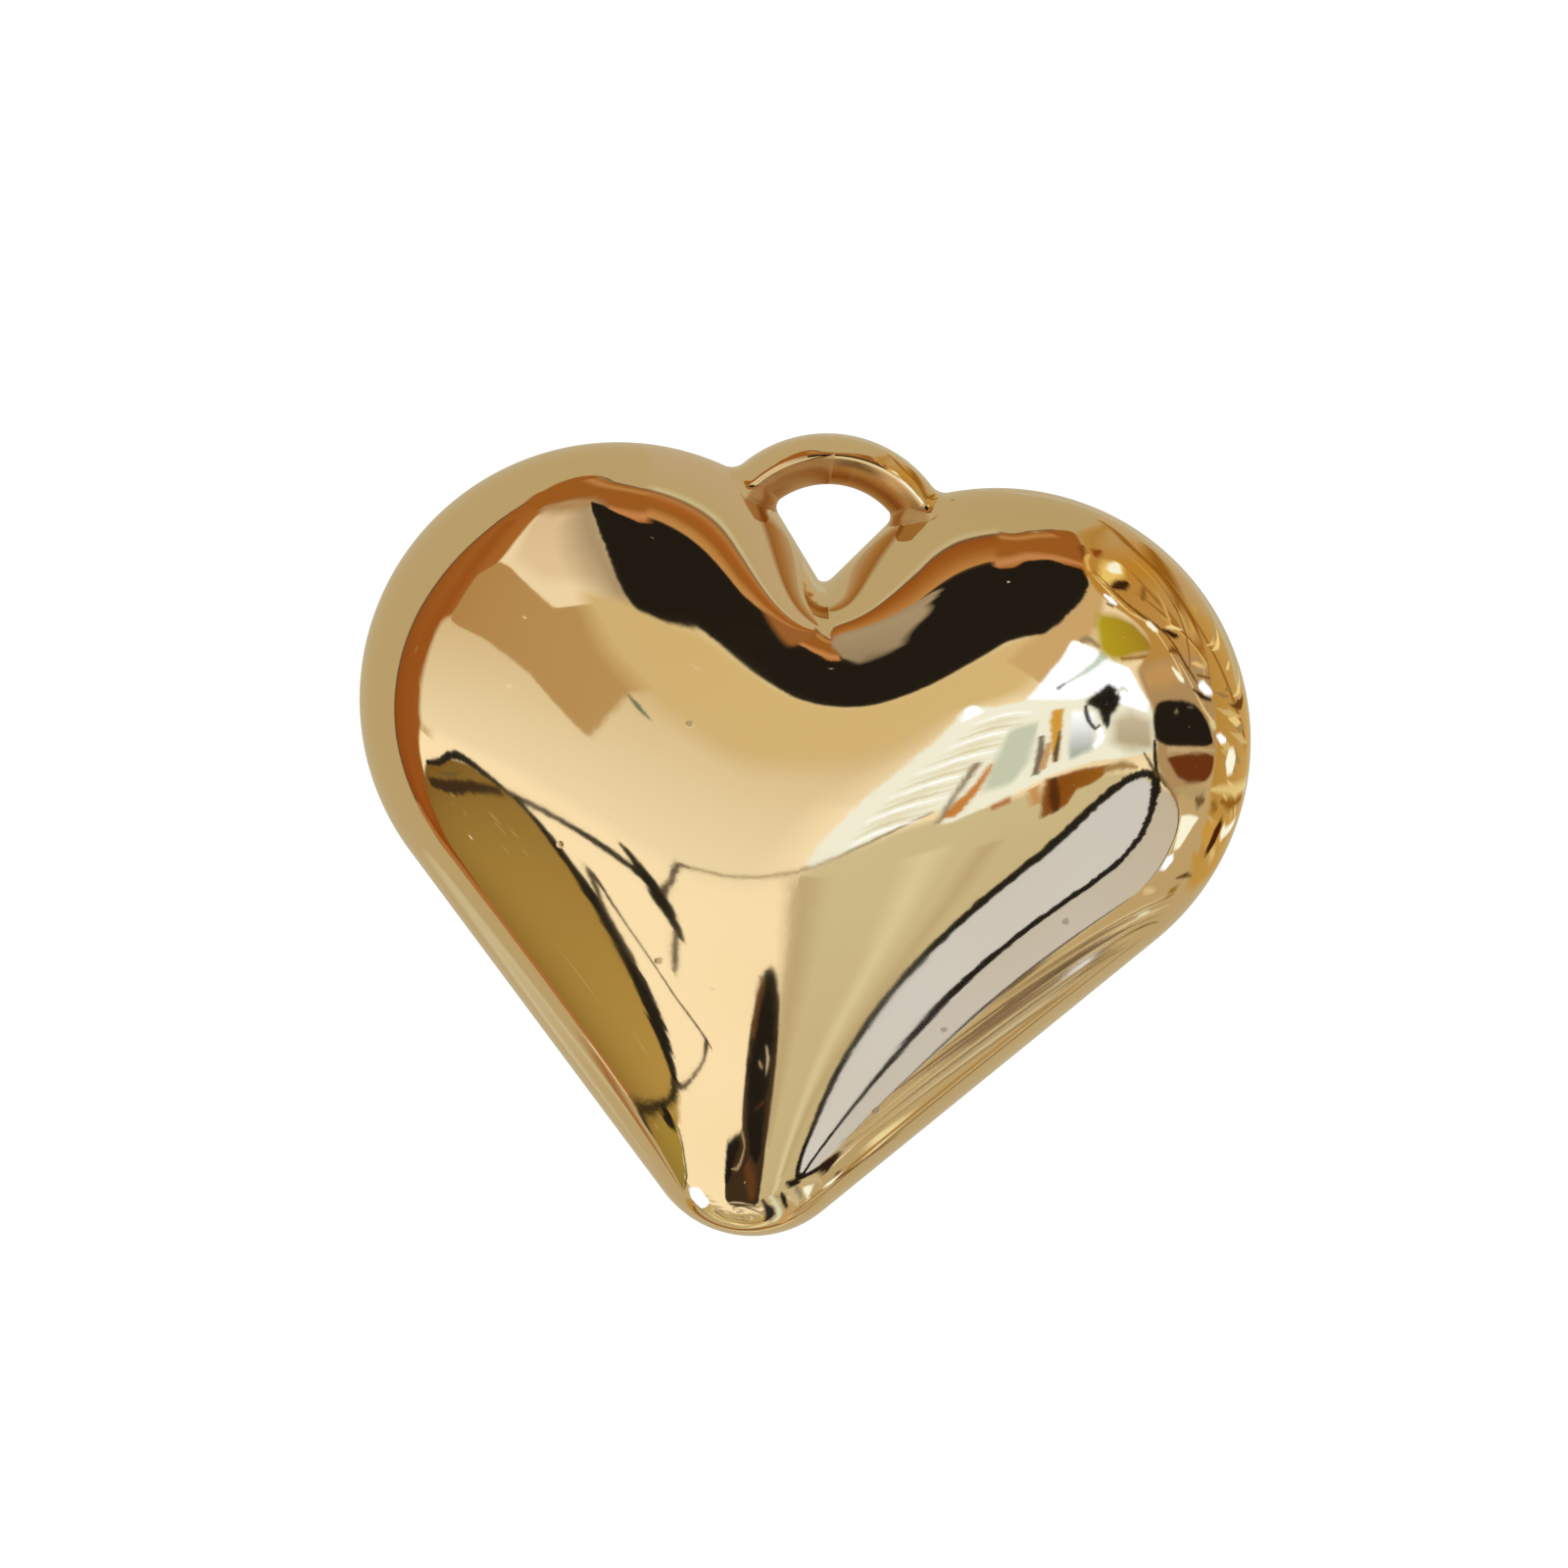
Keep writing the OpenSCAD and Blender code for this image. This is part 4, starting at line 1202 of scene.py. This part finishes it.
class CHARM_OT_boards(Operator):
    """Stand the boards round the charm that its mirror finish shows"""
    bl_idname = "charm.boards"
    bl_label = "Boards"

    def execute(self, context):
        boards = Boards(context.scene.charm_studio.boards_r)
        for lay in AREAS:
            lay(boards)
        made = boards.build(board_finish())
        made.visible_camera = made.visible_diffuse = made.visible_shadow = False
        made.visible_transmission = False
        return {"FINISHED"}


def floor_finish():
    """Matt white, lifted to plain white for the camera and for mirrors."""
    material = bpy.data.materials.new("studio_floor")
    f = Finish(material)
    path = f.node("ShaderNodeLightPath").outputs
    camera, glossy, through = (Wire(f, path[f"Is {kind} Ray"])
                               for kind in ("Camera", "Glossy", "Transmission"))
    lifted = camera.most(glossy).most(through)
    matt = f.node("ShaderNodeBsdfDiffuse", Color=(0.86, 0.86, 0.86, 1)).outputs[0]
    lift = f.node("ShaderNodeEmission", Color=(1, 1, 1, 1), Strength=lifted * 0.2).outputs[0]
    both = f.node("ShaderNodeAddShader", s0=matt, s1=lift).outputs[0]
    f.node("ShaderNodeOutputMaterial", Surface=both)
    return material


class CHARM_OT_studio(Operator):
    """Set the white floor, the soft light and the camera"""
    bl_idname = "charm.studio"
    bl_label = "Floor, light and camera"

    def execute(self, context):
        scene = context.scene
        studio = scene.charm_studio
        corners = FLOOR_HALF * np.array([[-1, -1], [1, -1], [1, 1], [-1, 1]])
        points = np.column_stack([corners, np.full(4, -studio.floor_drop)])
        face = np.arange(4)[None]
        floor = mesh_object("studio_floor", points, NO_TRIANGLES, face, floor_finish())

        world = bpy.data.worlds.new("studio")
        scene.world = world
        f = Finish(world)
        glow = f.node("ShaderNodeBackground", Color=(1, 1, 1, 1), Strength=1.0).outputs[0]
        f.node("ShaderNodeOutputWorld", Surface=glow)

        lamp = bpy.data.lights.new("soft_key", "AREA")
        lamp.shape, lamp.size, lamp.energy = "DISK", LAMP_SIZE, LAMP_POWER
        key = bpy.data.objects.new("soft_key", lamp)
        up = np.cross(LAMP_PLACE, LAMP_RIGHT)
        key.matrix_world = matrix(LAMP_RIGHT, up, LAMP_PLACE, LAMP_PLACE)
        key.visible_glossy = False
        scene.collection.objects.link(key)

        scene.view_settings.view_transform = "Standard"
        place_camera(studio)
        return {"FINISHED"}


class CHARM_PT_panel(Panel):
    """Sizes, finish and studio of the heart charm"""
    bl_idname = "CHARM_PT_panel"
    bl_label = "Heart charm"
    bl_space_type = "VIEW_3D"
    bl_region_type = "UI"
    bl_category = "Heart charm"

    def draw(self, context):
        scene = context.scene
        for group in (scene.charm_sizes, scene.charm_finish, scene.charm_studio):
            box = self.layout.box()
            for name in group.__annotations__:
                box.prop(group, name)
        for step in STEPS:
            self.layout.operator(step.bl_idname)


STEPS = (CHARM_OT_heart, CHARM_OT_loop, CHARM_OT_boards, CHARM_OT_studio)
CLASSES = (CharmSizes, CharmFinish, CharmStudio, *STEPS, CHARM_PT_panel)


def register():
    for made in CLASSES:
        bpy.utils.register_class(made)
    bpy.types.Scene.charm_sizes = PointerProperty(type=CharmSizes)
    bpy.types.Scene.charm_finish = PointerProperty(type=CharmFinish)
    bpy.types.Scene.charm_studio = PointerProperty(type=CharmStudio)


def unregister():
    del bpy.types.Scene.charm_sizes, bpy.types.Scene.charm_finish, bpy.types.Scene.charm_studio
    for made in reversed(CLASSES):
        bpy.utils.unregister_class(made)


def main():
    """Builds the charm and its studio."""
    register()
    bpy.ops.charm.heart()
    bpy.ops.charm.loop()
    bpy.ops.charm.boards()
    bpy.ops.charm.studio()


if __name__ == "__main__":
    main()
